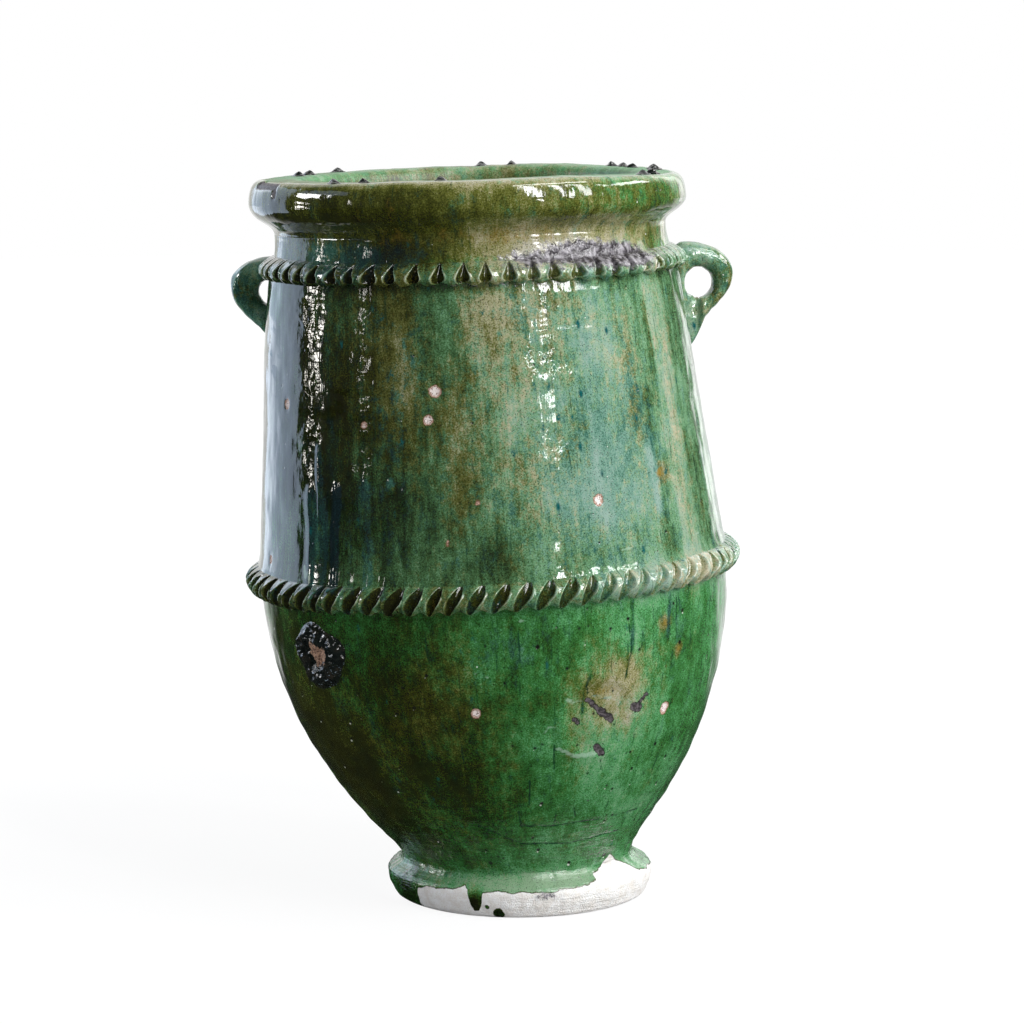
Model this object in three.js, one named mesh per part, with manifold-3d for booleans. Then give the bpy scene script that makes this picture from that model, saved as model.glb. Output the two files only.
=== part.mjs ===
// A tall storage jar of green-glazed earthenware, built up as a country potter builds it.
// A thrown bowl stands in an added foot ring. A thrown wall and a collar are luted on top of it, and rope
// bands of finger-pressed clay cover the two seams. A heavy rolled lip closes the mouth, and two pulled loop
// handles hang from the upper band. Kiln spurs left their tips on the lip, and a kiln wad stuck to the bowl.
// Units are millimetres and +Z is up. The origin is the centre of the foot, on the ground.
import * as THREE from "three";
import { mergeVertices } from "three/addons/utils/BufferGeometryUtils.js";
import Module from "manifold-3d";

const wasm = await Module();
wasm.setup();

// Heights, each measured from the top of the piece below
const FOOT_HEIGHT = 36;
const BOWL_HEIGHT = 242;
const WALL_HEIGHT = 251;
const COLLAR_HEIGHT = 27;
const LIP_HEIGHT = 44;

// Radii of the outer form, from the ground to the mouth
const TREAD_RADIUS = 98;
const FOOT_RADIUS = 110;
const WAIST_RADIUS = 96;
const BELLY_RADIUS = 193.5;
const SHOULDER_RADIUS = 166;
const NECK_RADIUS = 161;
const LIP_RADIUS = 179.5;
const MOUTH_RADIUS = 135;

// Clay thicknesses and the joints between the pieces
const FLOOR_THICKNESS = 20;
const FLOOR_RADIUS = 58;
const WALL_THICKNESS = 13;
const COLLAR_THICKNESS = 18;
const STUB_RADIUS = 84;
const SEAM_BEVEL = 6;
const SEAM_GAP = 0.3;

// The foot ring's rounded edge and the lip's rounded edges
const FOOT_EDGE_HEIGHT = 20;
const LIP_EDGE_HEIGHT = 28;
const LIP_OUTER_ROUND = 11;
const LIP_INNER_ROUND = 12;

// How the throwing curves run, as shares of a piece's own height and of its change in radius
const BOWL_FULLNESS = 0.62;
const BOWL_SPRING_OUT = 0.06;
const BOWL_SPRING_UP = 0.09;
const WALL_BULGE_IN = 0.55;
const WALL_BULGE_UP = 0.6;
const SHOULDER_TURN_OUT = 0.18;
const SHOULDER_TURN_DOWN = 0.05;
const COLLAR_HOLLOW_OUT = 0.2;
const COLLAR_HOLLOW_UP = 0.3;
const COLLAR_STRAIGHT = 0.4;
const FOOT_UNDERCUT = 0.7;
const LIP_HOLLOW_OUT = 0.2;
const LIP_HOLLOW_UP = 0.45;

// The rope band on the belly seam
const BELLY_ROPE_HEIGHT = 23;
const BELLY_ROPE_DEPTH = 10.5;
const BELLY_ROPE_PRESSES = 72;

// The rope band on the neck seam
const NECK_ROPE_HEIGHT = 18;
const NECK_ROPE_DEPTH = 8.5;
const NECK_ROPE_PRESSES = 58;

// Each finger press: its depth as a share of the rope's, and how far it slants along the rope in presses
const PRESS_SHARE = 0.55;
const PRESS_SLANT = 0.35;

// The loop handles
const LEFT_HANDLE_REACH = 39;
const RIGHT_HANDLE_REACH = 48;
const HANDLE_SET_DOWN = 4.5;
const HANDLE_DROP = 48;
const HANDLE_LIFT = 6;
const HANDLE_THICKNESS = 20;
const HANDLE_WIDTH = 23;
const HANDLE_ROOT_FLARE = 4;
const HANDLE_ROOT_DEPTH = 16;
const HANDLE_SQUARENESS = 0.8;
const HANDLE_TURN_DEGREES = 13;

// The stubs of the kiln spurs, by their angles round the lip
const SPUR_RADIUS = 4.5;
const SPUR_HEIGHT = 4.8;
const SPUR_ANGLES = [11, 19, 26, 33, 42, 76, 86, 133, 149, 157, 231, 240, 263, 330, 339];

// The kiln wad on the bowl
const WAD_DEGREES = 222.5;
const WAD_DROP = 49;
const WAD_WIDTH = 52;
const WAD_HEIGHT = 56;
const WAD_DEPTH = 7;
const WAD_UNEVENNESS = 0.1;

// How far the kiln and the hand threw the jar out of true
const LEAN = 34;
const FOOT_OFFSET = 5.5;
const BELLY_TILT = 0.053;
const MOUTH_TILT = 0.025;

// Facets
const SIDES = 48;
const BOWL_STEPS = 9;
const CURVE_STEPS = 5;
const STEPS_PER_PRESS = 3;
const HANDLE_STEPS = 12;
const HANDLE_SIDES = 10;
const SPUR_SIDES = 8;
const WAD_SIDES = 16;
const MERGE_DISTANCE = 1e-4;

// Heights above the ground
const BELLY_SEAM = FOOT_HEIGHT + BOWL_HEIGHT;
const NECK_SEAM = BELLY_SEAM + WALL_HEIGHT;
const LIP_SEAT = NECK_SEAM + COLLAR_HEIGHT;
const LIP_TOP = LIP_SEAT + LIP_HEIGHT;

// The two rope bands, and half a rope's section from its lower to its upper edge
const ROPES = [
  {
    name: "belly_rope_band",
    middle: BELLY_SEAM,
    height: BELLY_ROPE_HEIGHT,
    depth: BELLY_ROPE_DEPTH,
    presses: BELLY_ROPE_PRESSES,
  },
  {
    name: "neck_rope_band",
    middle: NECK_SEAM,
    height: NECK_ROPE_HEIGHT,
    depth: NECK_ROPE_DEPTH,
    presses: NECK_ROPE_PRESSES,
  },
];
const ROPE_SECTION = [-0.5, -0.35, 0, 0.35, 0.5].map((share) => {
  return { share, swell: Math.sqrt(1 - (2 * share) ** 2) };
});

const { degToRad, lerp, mapLinear, smoothstep } = THREE.MathUtils;

function at(radius, height) {
  return new THREE.Vector2(radius, height);
}

// The outer curves of bowl, wall and collar, as radius against height
const bowlCurve = new THREE.CubicBezierCurve(
  at(WAIST_RADIUS, FOOT_HEIGHT + SEAM_GAP),
  at(lerp(WAIST_RADIUS, BELLY_RADIUS, BOWL_SPRING_OUT), lerp(FOOT_HEIGHT, BELLY_SEAM, BOWL_SPRING_UP)),
  at(BELLY_RADIUS, BELLY_SEAM - BOWL_FULLNESS * BOWL_HEIGHT),
  at(BELLY_RADIUS, BELLY_SEAM),
);
const wallCurve = new THREE.CubicBezierCurve(
  at(BELLY_RADIUS, BELLY_SEAM + SEAM_GAP),
  at(lerp(BELLY_RADIUS, SHOULDER_RADIUS, WALL_BULGE_IN), lerp(BELLY_SEAM, NECK_SEAM, WALL_BULGE_UP)),
  at(lerp(SHOULDER_RADIUS, BELLY_RADIUS, SHOULDER_TURN_OUT), lerp(NECK_SEAM, BELLY_SEAM, SHOULDER_TURN_DOWN)),
  at(SHOULDER_RADIUS, NECK_SEAM),
);
const collarCurve = new THREE.CubicBezierCurve(
  at(SHOULDER_RADIUS, NECK_SEAM + SEAM_GAP),
  at(lerp(NECK_RADIUS, SHOULDER_RADIUS, COLLAR_HOLLOW_OUT), lerp(NECK_SEAM, LIP_SEAT, COLLAR_HOLLOW_UP)),
  at(NECK_RADIUS, LIP_SEAT - COLLAR_STRAIGHT * COLLAR_HEIGHT),
  at(NECK_RADIUS, LIP_SEAT),
);
const skin = [
  ...bowlCurve.getPoints(BOWL_STEPS),
  ...wallCurve.getPoints(CURVE_STEPS),
  ...collarCurve.getPoints(CURVE_STEPS),
];

// The radius of the jar's outer skin at a height. Past either end the end stretch runs on.
function skinRadius(height) {
  const start = skin.findLastIndex((point) => point.y <= height);
  const below = Math.min(Math.max(0, start), skin.length - 2);
  const [low, high] = [skin[below], skin[below + 1]];
  return mapLinear(height, low.y, high.y, low.x, high.x);
}

// Moves a point of the true jar to where the leaning jar has it. The foot stays flat on the ground.
function leaned(point) {
  const offFoot = FOOT_OFFSET * smoothstep(point.z, FOOT_HEIGHT / 2, 2 * FOOT_HEIGHT);
  const bellyTilt = BELLY_TILT * smoothstep(point.z, FOOT_HEIGHT, BELLY_SEAM);
  const tilt = bellyTilt + (MOUTH_TILT - BELLY_TILT) * smoothstep(point.z, BELLY_SEAM, NECK_SEAM);
  return new THREE.Vector3(
    point.x - offFoot - (LEAN * point.z) / LIP_TOP,
    point.y,
    point.z + tilt * point.x,
  );
}

function lean(geometry) {
  const positions = geometry.getAttribute("position");
  const point = new THREE.Vector3();
  for (let index = 0; index < positions.count; index += 1) {
    point.fromBufferAttribute(positions, index);
    positions.setXYZ(index, ...leaned(point).toArray());
  }
  return geometry;
}

// A solid of revolution about +Z from an outline of radius and height
function revolve(outline, sides = SIDES) {
  return new THREE.LatheGeometry(outline, sides).rotateX(Math.PI / 2);
}

// A closed solid through rings of points, each ring counter-clockwise seen from the end of the loft.
// A loop joins its last ring to its first, and any other loft has a flat face at either end.
function loft(rings, isLoop) {
  const around = rings[0].length;
  const triangles = [];
  rings.slice(isLoop ? 0 : 1).forEach((_, strip) => {
    const next = (strip + 1) % rings.length;
    for (let side = 0; side < around; side += 1) {
      const after = (side + 1) % around;
      const [a, b] = [strip * around + side, strip * around + after];
      const [c, d] = [next * around + after, next * around + side];
      triangles.push(a, b, c, a, c, d);
    }
  });
  if (!isLoop) {
    const last = (rings.length - 1) * around;
    for (let side = 1; side < around - 1; side += 1) {
      triangles.push(0, side + 1, side, last, last + side, last + side + 1);
    }
  }
  const geometry = new THREE.BufferGeometry();
  geometry.setFromPoints(rings.flat());
  geometry.setIndex(triangles);
  return geometry;
}

function solidOf(geometry) {
  const bare = geometry.clone();
  bare.deleteAttribute("normal");
  bare.deleteAttribute("uv");
  const merged = mergeVertices(bare, MERGE_DISTANCE);
  const vertProperties = merged.getAttribute("position").array;
  const triVerts = new Uint32Array(merged.index.array);
  return new wasm.Manifold(new wasm.Mesh({ numProp: 3, vertProperties, triVerts }));
}

function cut(geometry, tool) {
  const { vertProperties, triVerts } = solidOf(geometry).subtract(solidOf(tool)).getMesh();
  const result = new THREE.BufferGeometry();
  result.setAttribute("position", new THREE.BufferAttribute(vertProperties, 3));
  result.setIndex(new THREE.BufferAttribute(triVerts, 1));
  return result;
}

// A ring of clay with a swelling edge, whose bore fits the stub under the bowl
function footRing() {
  const bore = STUB_RADIUS + SEAM_GAP;
  const waistStart = (FOOT_EDGE_HEIGHT + FOOT_HEIGHT) / 2;
  const outline = new THREE.Path();
  outline.moveTo(bore, 0);
  outline.lineTo(TREAD_RADIUS, 0);
  outline.bezierCurveTo(
    lerp(TREAD_RADIUS, FOOT_RADIUS, FOOT_UNDERCUT), 0,
    FOOT_RADIUS, FOOT_EDGE_HEIGHT / 2,
    FOOT_RADIUS, FOOT_EDGE_HEIGHT,
  );
  outline.bezierCurveTo(
    FOOT_RADIUS, waistStart,
    WAIST_RADIUS, waistStart,
    WAIST_RADIUS, FOOT_HEIGHT,
  );
  outline.lineTo(bore, FOOT_HEIGHT);
  outline.lineTo(bore, 0);
  return revolve(outline.getPoints(CURVE_STEPS));
}

// The thrown bowl, with the stub that stands in the foot ring and a bevelled upper edge
function lowerBowl() {
  const innerEdge = at(BELLY_RADIUS - WALL_THICKNESS, BELLY_SEAM - SEAM_BEVEL);
  const innerDepth = innerEdge.y - FLOOR_THICKNESS;
  const innerCurve = new THREE.CubicBezierCurve(
    innerEdge,
    at(innerEdge.x, innerEdge.y - BOWL_FULLNESS * innerDepth),
    at(lerp(FLOOR_RADIUS, innerEdge.x, BOWL_SPRING_UP), lerp(FLOOR_THICKNESS, innerEdge.y, BOWL_SPRING_OUT)),
    at(FLOOR_RADIUS, FLOOR_THICKNESS),
  );
  return revolve([
    at(0, 0),
    at(STUB_RADIUS, 0),
    at(STUB_RADIUS, FOOT_HEIGHT + SEAM_GAP),
    ...bowlCurve.getPoints(BOWL_STEPS),
    ...innerCurve.getPoints(BOWL_STEPS),
    at(0, FLOOR_THICKNESS),
  ]);
}

// A tube of clay between two bevelled seams, or under a flat seat where its top has no bevel
function luted(outerCurve, bottomThickness, topThickness, topBevel) {
  const outer = outerCurve.getPoints(CURVE_STEPS);
  const bottom = outer[0];
  const inner = outer.map((point, step) => {
    const rise = step / CURVE_STEPS;
    const thickness = lerp(bottomThickness, topThickness, rise);
    return at(point.x - thickness, point.y - lerp(SEAM_BEVEL, topBevel, rise));
  });
  return revolve([...outer, ...inner.reverse(), bottom]);
}

// The heavy lip: its underside swells out of the collar, and its top is a broad flat
function rimLip() {
  const seat = LIP_SEAT + SEAM_GAP;
  const edge = LIP_SEAT + LIP_EDGE_HEIGHT;
  const collarBore = NECK_RADIUS - COLLAR_THICKNESS;
  const outline = new THREE.Path();
  outline.moveTo(NECK_RADIUS, seat);
  outline.bezierCurveTo(
    lerp(NECK_RADIUS, LIP_RADIUS, LIP_HOLLOW_OUT), lerp(seat, edge, LIP_HOLLOW_UP),
    LIP_RADIUS, lerp(seat, edge, LIP_HOLLOW_UP),
    LIP_RADIUS, edge,
  );
  outline.quadraticCurveTo(LIP_RADIUS, LIP_TOP, LIP_RADIUS - LIP_OUTER_ROUND, LIP_TOP);
  outline.lineTo(MOUTH_RADIUS + LIP_INNER_ROUND, LIP_TOP);
  outline.quadraticCurveTo(MOUTH_RADIUS, LIP_TOP, MOUTH_RADIUS, LIP_TOP - LIP_INNER_ROUND);
  outline.quadraticCurveTo(MOUTH_RADIUS, (LIP_TOP + seat) / 2, collarBore, seat);
  outline.lineTo(NECK_RADIUS, seat);
  return revolve(outline.getPoints(CURVE_STEPS));
}

// A coil of clay laid on the skin and pressed with a slanting finger all the way round.
// Its section is half an ellipse on a back that follows the skin, and each press leaves one ridge standing.
function ropeBand({ middle, height, depth, presses }) {
  const rings = [];
  for (let step = 0; step < presses * STEPS_PER_PRESS; step += 1) {
    const isRidge = step % STEPS_PER_PRESS === 0;
    const proud = isRidge ? depth : depth * (1 - PRESS_SHARE);
    const place = ({ share, swell }) => {
      const angle = (2 * Math.PI * (step / STEPS_PER_PRESS + PRESS_SLANT * share)) / presses;
      const level = middle + share * height;
      const radius = skinRadius(level) + SEAM_GAP + proud * swell;
      return new THREE.Vector3(radius * Math.cos(angle), radius * Math.sin(angle), level);
    };
    const back = { share: 0, swell: 0 };
    rings.push([...ROPE_SECTION, back].reverse().map(place));
  }
  return loft(rings, true);
}

// The jar with both ropes and a seam's gap over it, filled to the axis: what is stuck on it is cut by this.
// A rope has more facets than this solid, so the flats of its rope swellings clear the rope's round.
function clearance() {
  const flats = 1 / Math.cos(Math.PI / SIDES);
  const covers = ({ middle, height }, level) => Math.abs(level - middle) <= height / 2 + SEAM_GAP;
  const open = skin.filter((point) => !ROPES.some((rope) => covers(rope, point.y)));
  const walls = open.map((point) => at(point.x + SEAM_GAP, point.y));
  const swellings = ROPES.flatMap(({ middle, height, depth }) => {
    return ROPE_SECTION.map(({ share, swell }) => {
      const level = middle + share * (height + 2 * SEAM_GAP);
      return at((skinRadius(level) + 2 * SEAM_GAP + depth * swell) * flats, level);
    });
  });
  const outline = [...walls, ...swellings].sort((one, other) => one.y - other.y);
  return revolve([at(0, outline[0].y), ...outline, at(0, outline.at(-1).y)]);
}

// One pulled handle, rooted over the neck rope above and on the wall below
function handle(reach, turn) {
  const middle = NECK_SEAM - HANDLE_SET_DOWN - HANDLE_DROP / 2;
  const middleReach = reach - HANDLE_THICKNESS / 2;
  const wall = skinRadius(middle);
  const points = [];
  for (let step = 0; step <= HANDLE_STEPS; step += 1) {
    const sweep = (Math.PI * step) / HANDLE_STEPS;
    const height = middle + (HANDLE_DROP / 2) * Math.cos(sweep) + HANDLE_LIFT * Math.sin(sweep);
    points.push(new THREE.Vector3(wall + middleReach * Math.sin(sweep) ** HANDLE_SQUARENESS, 0, height));
  }
  const inward = new THREE.Vector3(-HANDLE_ROOT_DEPTH, 0, 0);
  const path = [points[0].clone().add(inward), ...points, points[HANDLE_STEPS].clone().add(inward)];
  const rings = path.map((centre, index) => {
    const before = path[Math.max(0, index - 1)];
    const after = path[Math.min(path.length - 1, index + 1)];
    const along = after.clone().sub(before).normalize();
    const across = new THREE.Vector3(0, 1, 0).cross(along);
    const rootward = Math.abs(index / (path.length - 1) - 0.5) * 2;
    const width = HANDLE_WIDTH + HANDLE_ROOT_FLARE * rootward ** 2;
    return Array.from({ length: HANDLE_SIDES }, (_, side) => {
      const angle = (2 * Math.PI * side) / HANDLE_SIDES;
      const point = centre.clone().addScaledVector(across, (HANDLE_THICKNESS / 2) * Math.cos(angle));
      point.y += (width / 2) * Math.sin(angle);
      return point;
    });
  });
  return cut(loft(rings, false).rotateZ(turn), clearance());
}

// One broken spur tip: a small worn cone on a flat base
function spur() {
  const tip = [
    at(0, 0),
    at(SPUR_RADIUS, 0),
    at(0.8 * SPUR_RADIUS, 0.5 * SPUR_HEIGHT),
    at(0.35 * SPUR_RADIUS, 0.9 * SPUR_HEIGHT),
    at(0, SPUR_HEIGHT),
  ];
  return revolve(tip, SPUR_SIDES);
}

// A lump of kiln wadding torn off its shelf: an uneven mound with a broken hollow in its top
function kilnWad() {
  const height = BELLY_SEAM - WAD_DROP;
  const direction = degToRad(WAD_DEGREES);
  const outward = new THREE.Vector3(Math.cos(direction), Math.sin(direction), 0);
  const sideways = new THREE.Vector3(-outward.y, outward.x, 0);
  const mound = [
    { lift: -2, spread: 1 },
    { lift: 0.1, spread: 1 },
    { lift: 0.8, spread: 0.85 },
    { lift: 1, spread: 0.6 },
    { lift: 0.7, spread: 0.3 },
  ];
  const rings = mound.map(({ lift, spread }) => {
    return Array.from({ length: WAD_SIDES }, (_, side) => {
      const angle = (2 * Math.PI * side) / WAD_SIDES;
      const uneven = 1 + WAD_UNEVENNESS * (Math.sin(3 * angle + 1) + Math.sin(5 * angle) / 2);
      const across = (WAD_WIDTH / 2) * spread * uneven * Math.cos(angle);
      const up = (WAD_HEIGHT / 2) * spread * uneven * Math.sin(angle);
      const out = skinRadius(height + up) + WAD_DEPTH * lift - across ** 2 / (2 * BELLY_RADIUS);
      const point = outward.clone().multiplyScalar(out).addScaledVector(sideways, across);
      point.z = height + up;
      return point;
    });
  });
  return cut(loft(rings, false), clearance());
}

const jar = new THREE.Group();

function addPiece(name, geometry, color, roughness) {
  const material = new THREE.MeshStandardMaterial({ color, roughness, metalness: 0 });
  const mesh = new THREE.Mesh(geometry, material);
  mesh.name = name;
  jar.add(mesh);
  return mesh;
}

const GREEN_GLAZE = 0x2f6b35;
const DARK_GLAZE = 0x26402a;
const OLIVE_GLAZE = 0x4c5a26;
const BARE_CLAY = 0xcbbfae;
const BURNT_CLAY = 0x3a3024;
const GLOSSY = 0.15;
const MATT = 0.85;

addPiece("foot_ring", lean(footRing()), BARE_CLAY, MATT);
addPiece("lower_bowl", lean(lowerBowl()), GREEN_GLAZE, GLOSSY);
const upperWall = luted(wallCurve, WALL_THICKNESS, WALL_THICKNESS, SEAM_BEVEL);
addPiece("upper_wall", lean(upperWall), GREEN_GLAZE, GLOSSY);
const neckCollar = luted(collarCurve, WALL_THICKNESS, COLLAR_THICKNESS, 0);
addPiece("neck_collar", lean(neckCollar), OLIVE_GLAZE, GLOSSY);
addPiece("rim_lip", lean(rimLip()), OLIVE_GLAZE, GLOSSY);

for (const rope of ROPES) {
  addPiece(rope.name, lean(ropeBand(rope)), DARK_GLAZE, GLOSSY);
}

const handleTurn = degToRad(HANDLE_TURN_DEGREES);
addPiece("handle_right", lean(handle(RIGHT_HANDLE_REACH, handleTurn)), GREEN_GLAZE, GLOSSY);
addPiece("handle_left", lean(handle(LEFT_HANDLE_REACH, Math.PI - handleTurn)), DARK_GLAZE, GLOSSY);

// The spurs stand here and there on the flat of the lip, clear of its rounded edges.
const innermostSpur = MOUTH_RADIUS + LIP_INNER_ROUND + SPUR_RADIUS;
const outermostSpur = LIP_RADIUS - LIP_OUTER_ROUND - SPUR_RADIUS;
SPUR_ANGLES.forEach((degrees, index) => {
  const angle = degToRad(degrees);
  const radius = lerp(innermostSpur, outermostSpur, (1 + Math.sin(2 * index)) / 2);
  const seat = new THREE.Vector3(radius * Math.cos(angle), radius * Math.sin(angle), LIP_TOP + SEAM_GAP);
  const name = `rim_spur_${String(index + 1).padStart(2, "0")}`;
  const mesh = addPiece(name, spur(), BURNT_CLAY, MATT);
  mesh.position.copy(leaned(seat));
  mesh.rotation.y = -Math.atan(MOUTH_TILT);
});

addPiece("kiln_wad", lean(kilnWad()), BURNT_CLAY, MATT);

export default jar;
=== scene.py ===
"""The finished looks of a tall green-glazed storage jar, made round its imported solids.

Lengths are millimetres until a mesh is made. An azimuth is an angle round the jar in degrees from the
front, growing towards the right-hand handle. Heights are those of the true jar, before it is leaned the
way the kiln left it.
"""
import math

import bpy
import numpy as np
from mathutils import Matrix, Vector


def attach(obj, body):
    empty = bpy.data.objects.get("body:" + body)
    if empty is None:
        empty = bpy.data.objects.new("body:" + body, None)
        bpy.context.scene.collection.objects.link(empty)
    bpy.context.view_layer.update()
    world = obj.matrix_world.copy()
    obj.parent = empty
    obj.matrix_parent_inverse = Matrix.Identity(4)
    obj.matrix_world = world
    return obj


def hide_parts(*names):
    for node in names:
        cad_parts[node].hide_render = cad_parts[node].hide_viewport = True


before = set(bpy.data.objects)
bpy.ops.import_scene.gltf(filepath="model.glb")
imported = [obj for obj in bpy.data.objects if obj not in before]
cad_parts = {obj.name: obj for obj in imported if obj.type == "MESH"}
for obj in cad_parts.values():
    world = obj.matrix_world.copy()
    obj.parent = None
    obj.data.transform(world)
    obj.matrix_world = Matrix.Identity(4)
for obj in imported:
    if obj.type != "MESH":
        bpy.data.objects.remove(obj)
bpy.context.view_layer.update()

MM = 0.001

# Heights of the seams between the pieces
FOOT_TOP = 36.0
BELLY_SEAM = 278.0
NECK_SEAM = 529.0
LIP_SEAT = 556.0
LIP_TOP = 600.0

# Radii of the form
TREAD_RADIUS = 98.0
FOOT_RADIUS = 110.0
WAIST_RADIUS = 96.0
BELLY_RADIUS = 193.5
SHOULDER_RADIUS = 166.0
NECK_RADIUS = 161.0
LIP_RADIUS = 179.5
MOUTH_RADIUS = 135.0
STUB_RADIUS = 84.0
FLOOR_RADIUS = 58.0

# Clay thicknesses
FLOOR_THICKNESS = 20.0
WALL_THICKNESS = 13.0
COLLAR_THICKNESS = 18.0

# How far the kiln and the hand threw the jar out of true
LEAN = 34.0
FOOT_OFFSET = 5.5
BELLY_TILT = 0.053
MOUTH_TILT = 0.025
LIP_DROOP = 4.0
DROOP_FROM = 60.0

# Columns of points round the jar
BODY_COLUMNS = 640


def smooth(value, low, high):
    """0 below low, 1 above high, and an even slope between them."""
    share = np.clip((value - low) / (high - low), 0, 1)
    return share * share * (3 - 2 * share)


def mix(first, second, share):
    return first + (second - first) * share


def bezier(points, count):
    """Points along a cubic curve, both ends included."""
    start, pull, draw, end = np.array(points, float)
    share = np.linspace(0, 1, count)[:, None]
    rest = 1 - share
    return rest**3 * start + 3 * rest**2 * share * pull + 3 * rest * share**2 * draw + share**3 * end


def line(start, end, count):
    return mix(np.array(start, float), np.array(end, float), np.linspace(0, 1, count)[:, None])


def noise(points, size, seed):
    """Smooth noise from -1 to 1 at an array of points, with lumps of the given size."""
    table = np.random.default_rng(seed).uniform(-1, 1, 8192)
    scaled = points / size
    cell = np.floor(scaled).astype(np.int64)
    part = scaled - cell
    part = part * part * (3 - 2 * part)
    total = np.zeros(points.shape[:-1])
    for corner in np.ndindex(2, 2, 2):
        key = (cell + corner) * (73856093, 19349663, 83492791)
        mixed = key[..., 0] ^ key[..., 1] ^ key[..., 2]
        weight = np.where(corner, part, 1 - part).prod(-1)
        total += weight * table[mixed % table.size]
    return total


def cloud(turn, height, size, seed, stretch=1.0):
    """Noise on the jar's side that closes on itself. A stretch above 1 draws the lumps out downwards."""
    ring = np.stack([np.sin(turn) * BELLY_RADIUS, -np.cos(turn) * BELLY_RADIUS, height / stretch], -1)
    return noise(ring, size, seed)


def away(turn, azimuth):
    """The angle in radians from an azimuth, from -pi to pi."""
    return (turn - math.radians(azimuth) + math.pi) % (2 * math.pi) - math.pi


# The outer curves of the form, as radius against height, each written from its foot to its top
FOOT_OUTSIDE = np.vstack([
    bezier([(TREAD_RADIUS, 0), (106.4, 0), (FOOT_RADIUS, 10), (FOOT_RADIUS, 20)], 22),
    bezier([(FOOT_RADIUS, 20), (FOOT_RADIUS, 28), (WAIST_RADIUS, 28), (WAIST_RADIUS, FOOT_TOP)], 24)[1:],
])
BOWL_OUTSIDE = bezier(
    [
        (WAIST_RADIUS, FOOT_TOP),
        (mix(WAIST_RADIUS, BELLY_RADIUS, 0.06), mix(FOOT_TOP, BELLY_SEAM, 0.09)),
        (BELLY_RADIUS, mix(BELLY_SEAM, FOOT_TOP, 0.62)),
        (BELLY_RADIUS, BELLY_SEAM),
    ],
    112,
)
WALL_OUTSIDE = bezier(
    [
        (BELLY_RADIUS, BELLY_SEAM),
        (mix(BELLY_RADIUS, SHOULDER_RADIUS, 0.55), mix(BELLY_SEAM, NECK_SEAM, 0.6)),
        (mix(SHOULDER_RADIUS, BELLY_RADIUS, 0.18), mix(NECK_SEAM, BELLY_SEAM, 0.05)),
        (SHOULDER_RADIUS, NECK_SEAM),
    ],
    116,
)
COLLAR_OUTSIDE = bezier(
    [
        (SHOULDER_RADIUS, NECK_SEAM),
        (mix(NECK_RADIUS, SHOULDER_RADIUS, 0.2), mix(NECK_SEAM, LIP_SEAT, 0.3)),
        (NECK_RADIUS, mix(LIP_SEAT, NECK_SEAM, 0.4)),
        (NECK_RADIUS, LIP_SEAT),
    ],
    16,
)
LIP_OUTSIDE = np.vstack([
    bezier([(NECK_RADIUS, LIP_SEAT), (161.6, 566), (LIP_RADIUS, 566), (LIP_RADIUS, 581)], 24),
    bezier([(LIP_RADIUS, 581), (LIP_RADIUS, 592.5), (175.2, LIP_TOP), (168.5, LIP_TOP)], 17)[1:],
])
SKIN = np.vstack([FOOT_OUTSIDE, BOWL_OUTSIDE[1:], WALL_OUTSIDE[1:], COLLAR_OUTSIDE[1:]])


def skin_radius(height):
    return np.interp(height, SKIN[:, 1], SKIN[:, 0])


def leaned(points):
    """Moves points of the true jar to where the leaning jar has them."""
    x, y, z = points[..., 0], points[..., 1], points[..., 2]
    off_foot = FOOT_OFFSET * smooth(z, FOOT_TOP / 2, 2 * FOOT_TOP)
    tilt = BELLY_TILT * smooth(z, FOOT_TOP, BELLY_SEAM)
    tilt = tilt + (MOUTH_TILT - BELLY_TILT) * smooth(z, BELLY_SEAM, NECK_SEAM)
    droop = LIP_DROOP * smooth(z, NECK_SEAM, LIP_TOP) * smooth(x, DROOP_FROM, LIP_RADIUS)
    return np.stack([x - off_foot - LEAN * z / LIP_TOP, y, z + tilt * x - droop], -1)


def on_ring(turn, radius, height):
    return np.stack([radius * np.sin(turn), -radius * np.cos(turn), height + 0 * turn], -1)


# Chips in the glaze: azimuth, height and radius
CHIPS = [
    (-11, 438.5, 5.0),
    (-13, 416.5, 4.3),
    (-30.5, 413, 3.0),
    (-2, 351.7, 2.1),
    (-9.5, 321.7, 2.3),
    (28.2, 346, 4.6),
    (48.5, 171, 5.2),
    (-6, 184.6, 4.0),
    (-60, 425.5, 4.2),
    (-69.5, 300.5, 3.6),
    (104, 402, 4.4),
    (136, 236, 5.0),
    (171, 352, 3.8),
    (-118, 455, 4.6),
    (-150, 196, 5.4),
    (-165, 420, 3.0),
]

# Scars where a flake of glaze broke off: azimuth and height of both ends, and half the width
SCARS = [
    (22.4, 189.5, 26.6, 178, 1.7),
    (26.4, 178.5, 30.2, 169.5, 2.6),
    (36.6, 178, 38.4, 176, 3.4),
    (38.8, 181, 40.6, 186, 1.6),
    (19.2, 174.5, 20.4, 170.5, 1.9),
    (26.6, 148.5, 28.4, 142.5, 2.5),
    (-73, 599, -61, 599, 4.6),
    (-60, 599, -59, 590, 2.6),
    (152, 140, 160, 131, 3.4),
]

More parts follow.
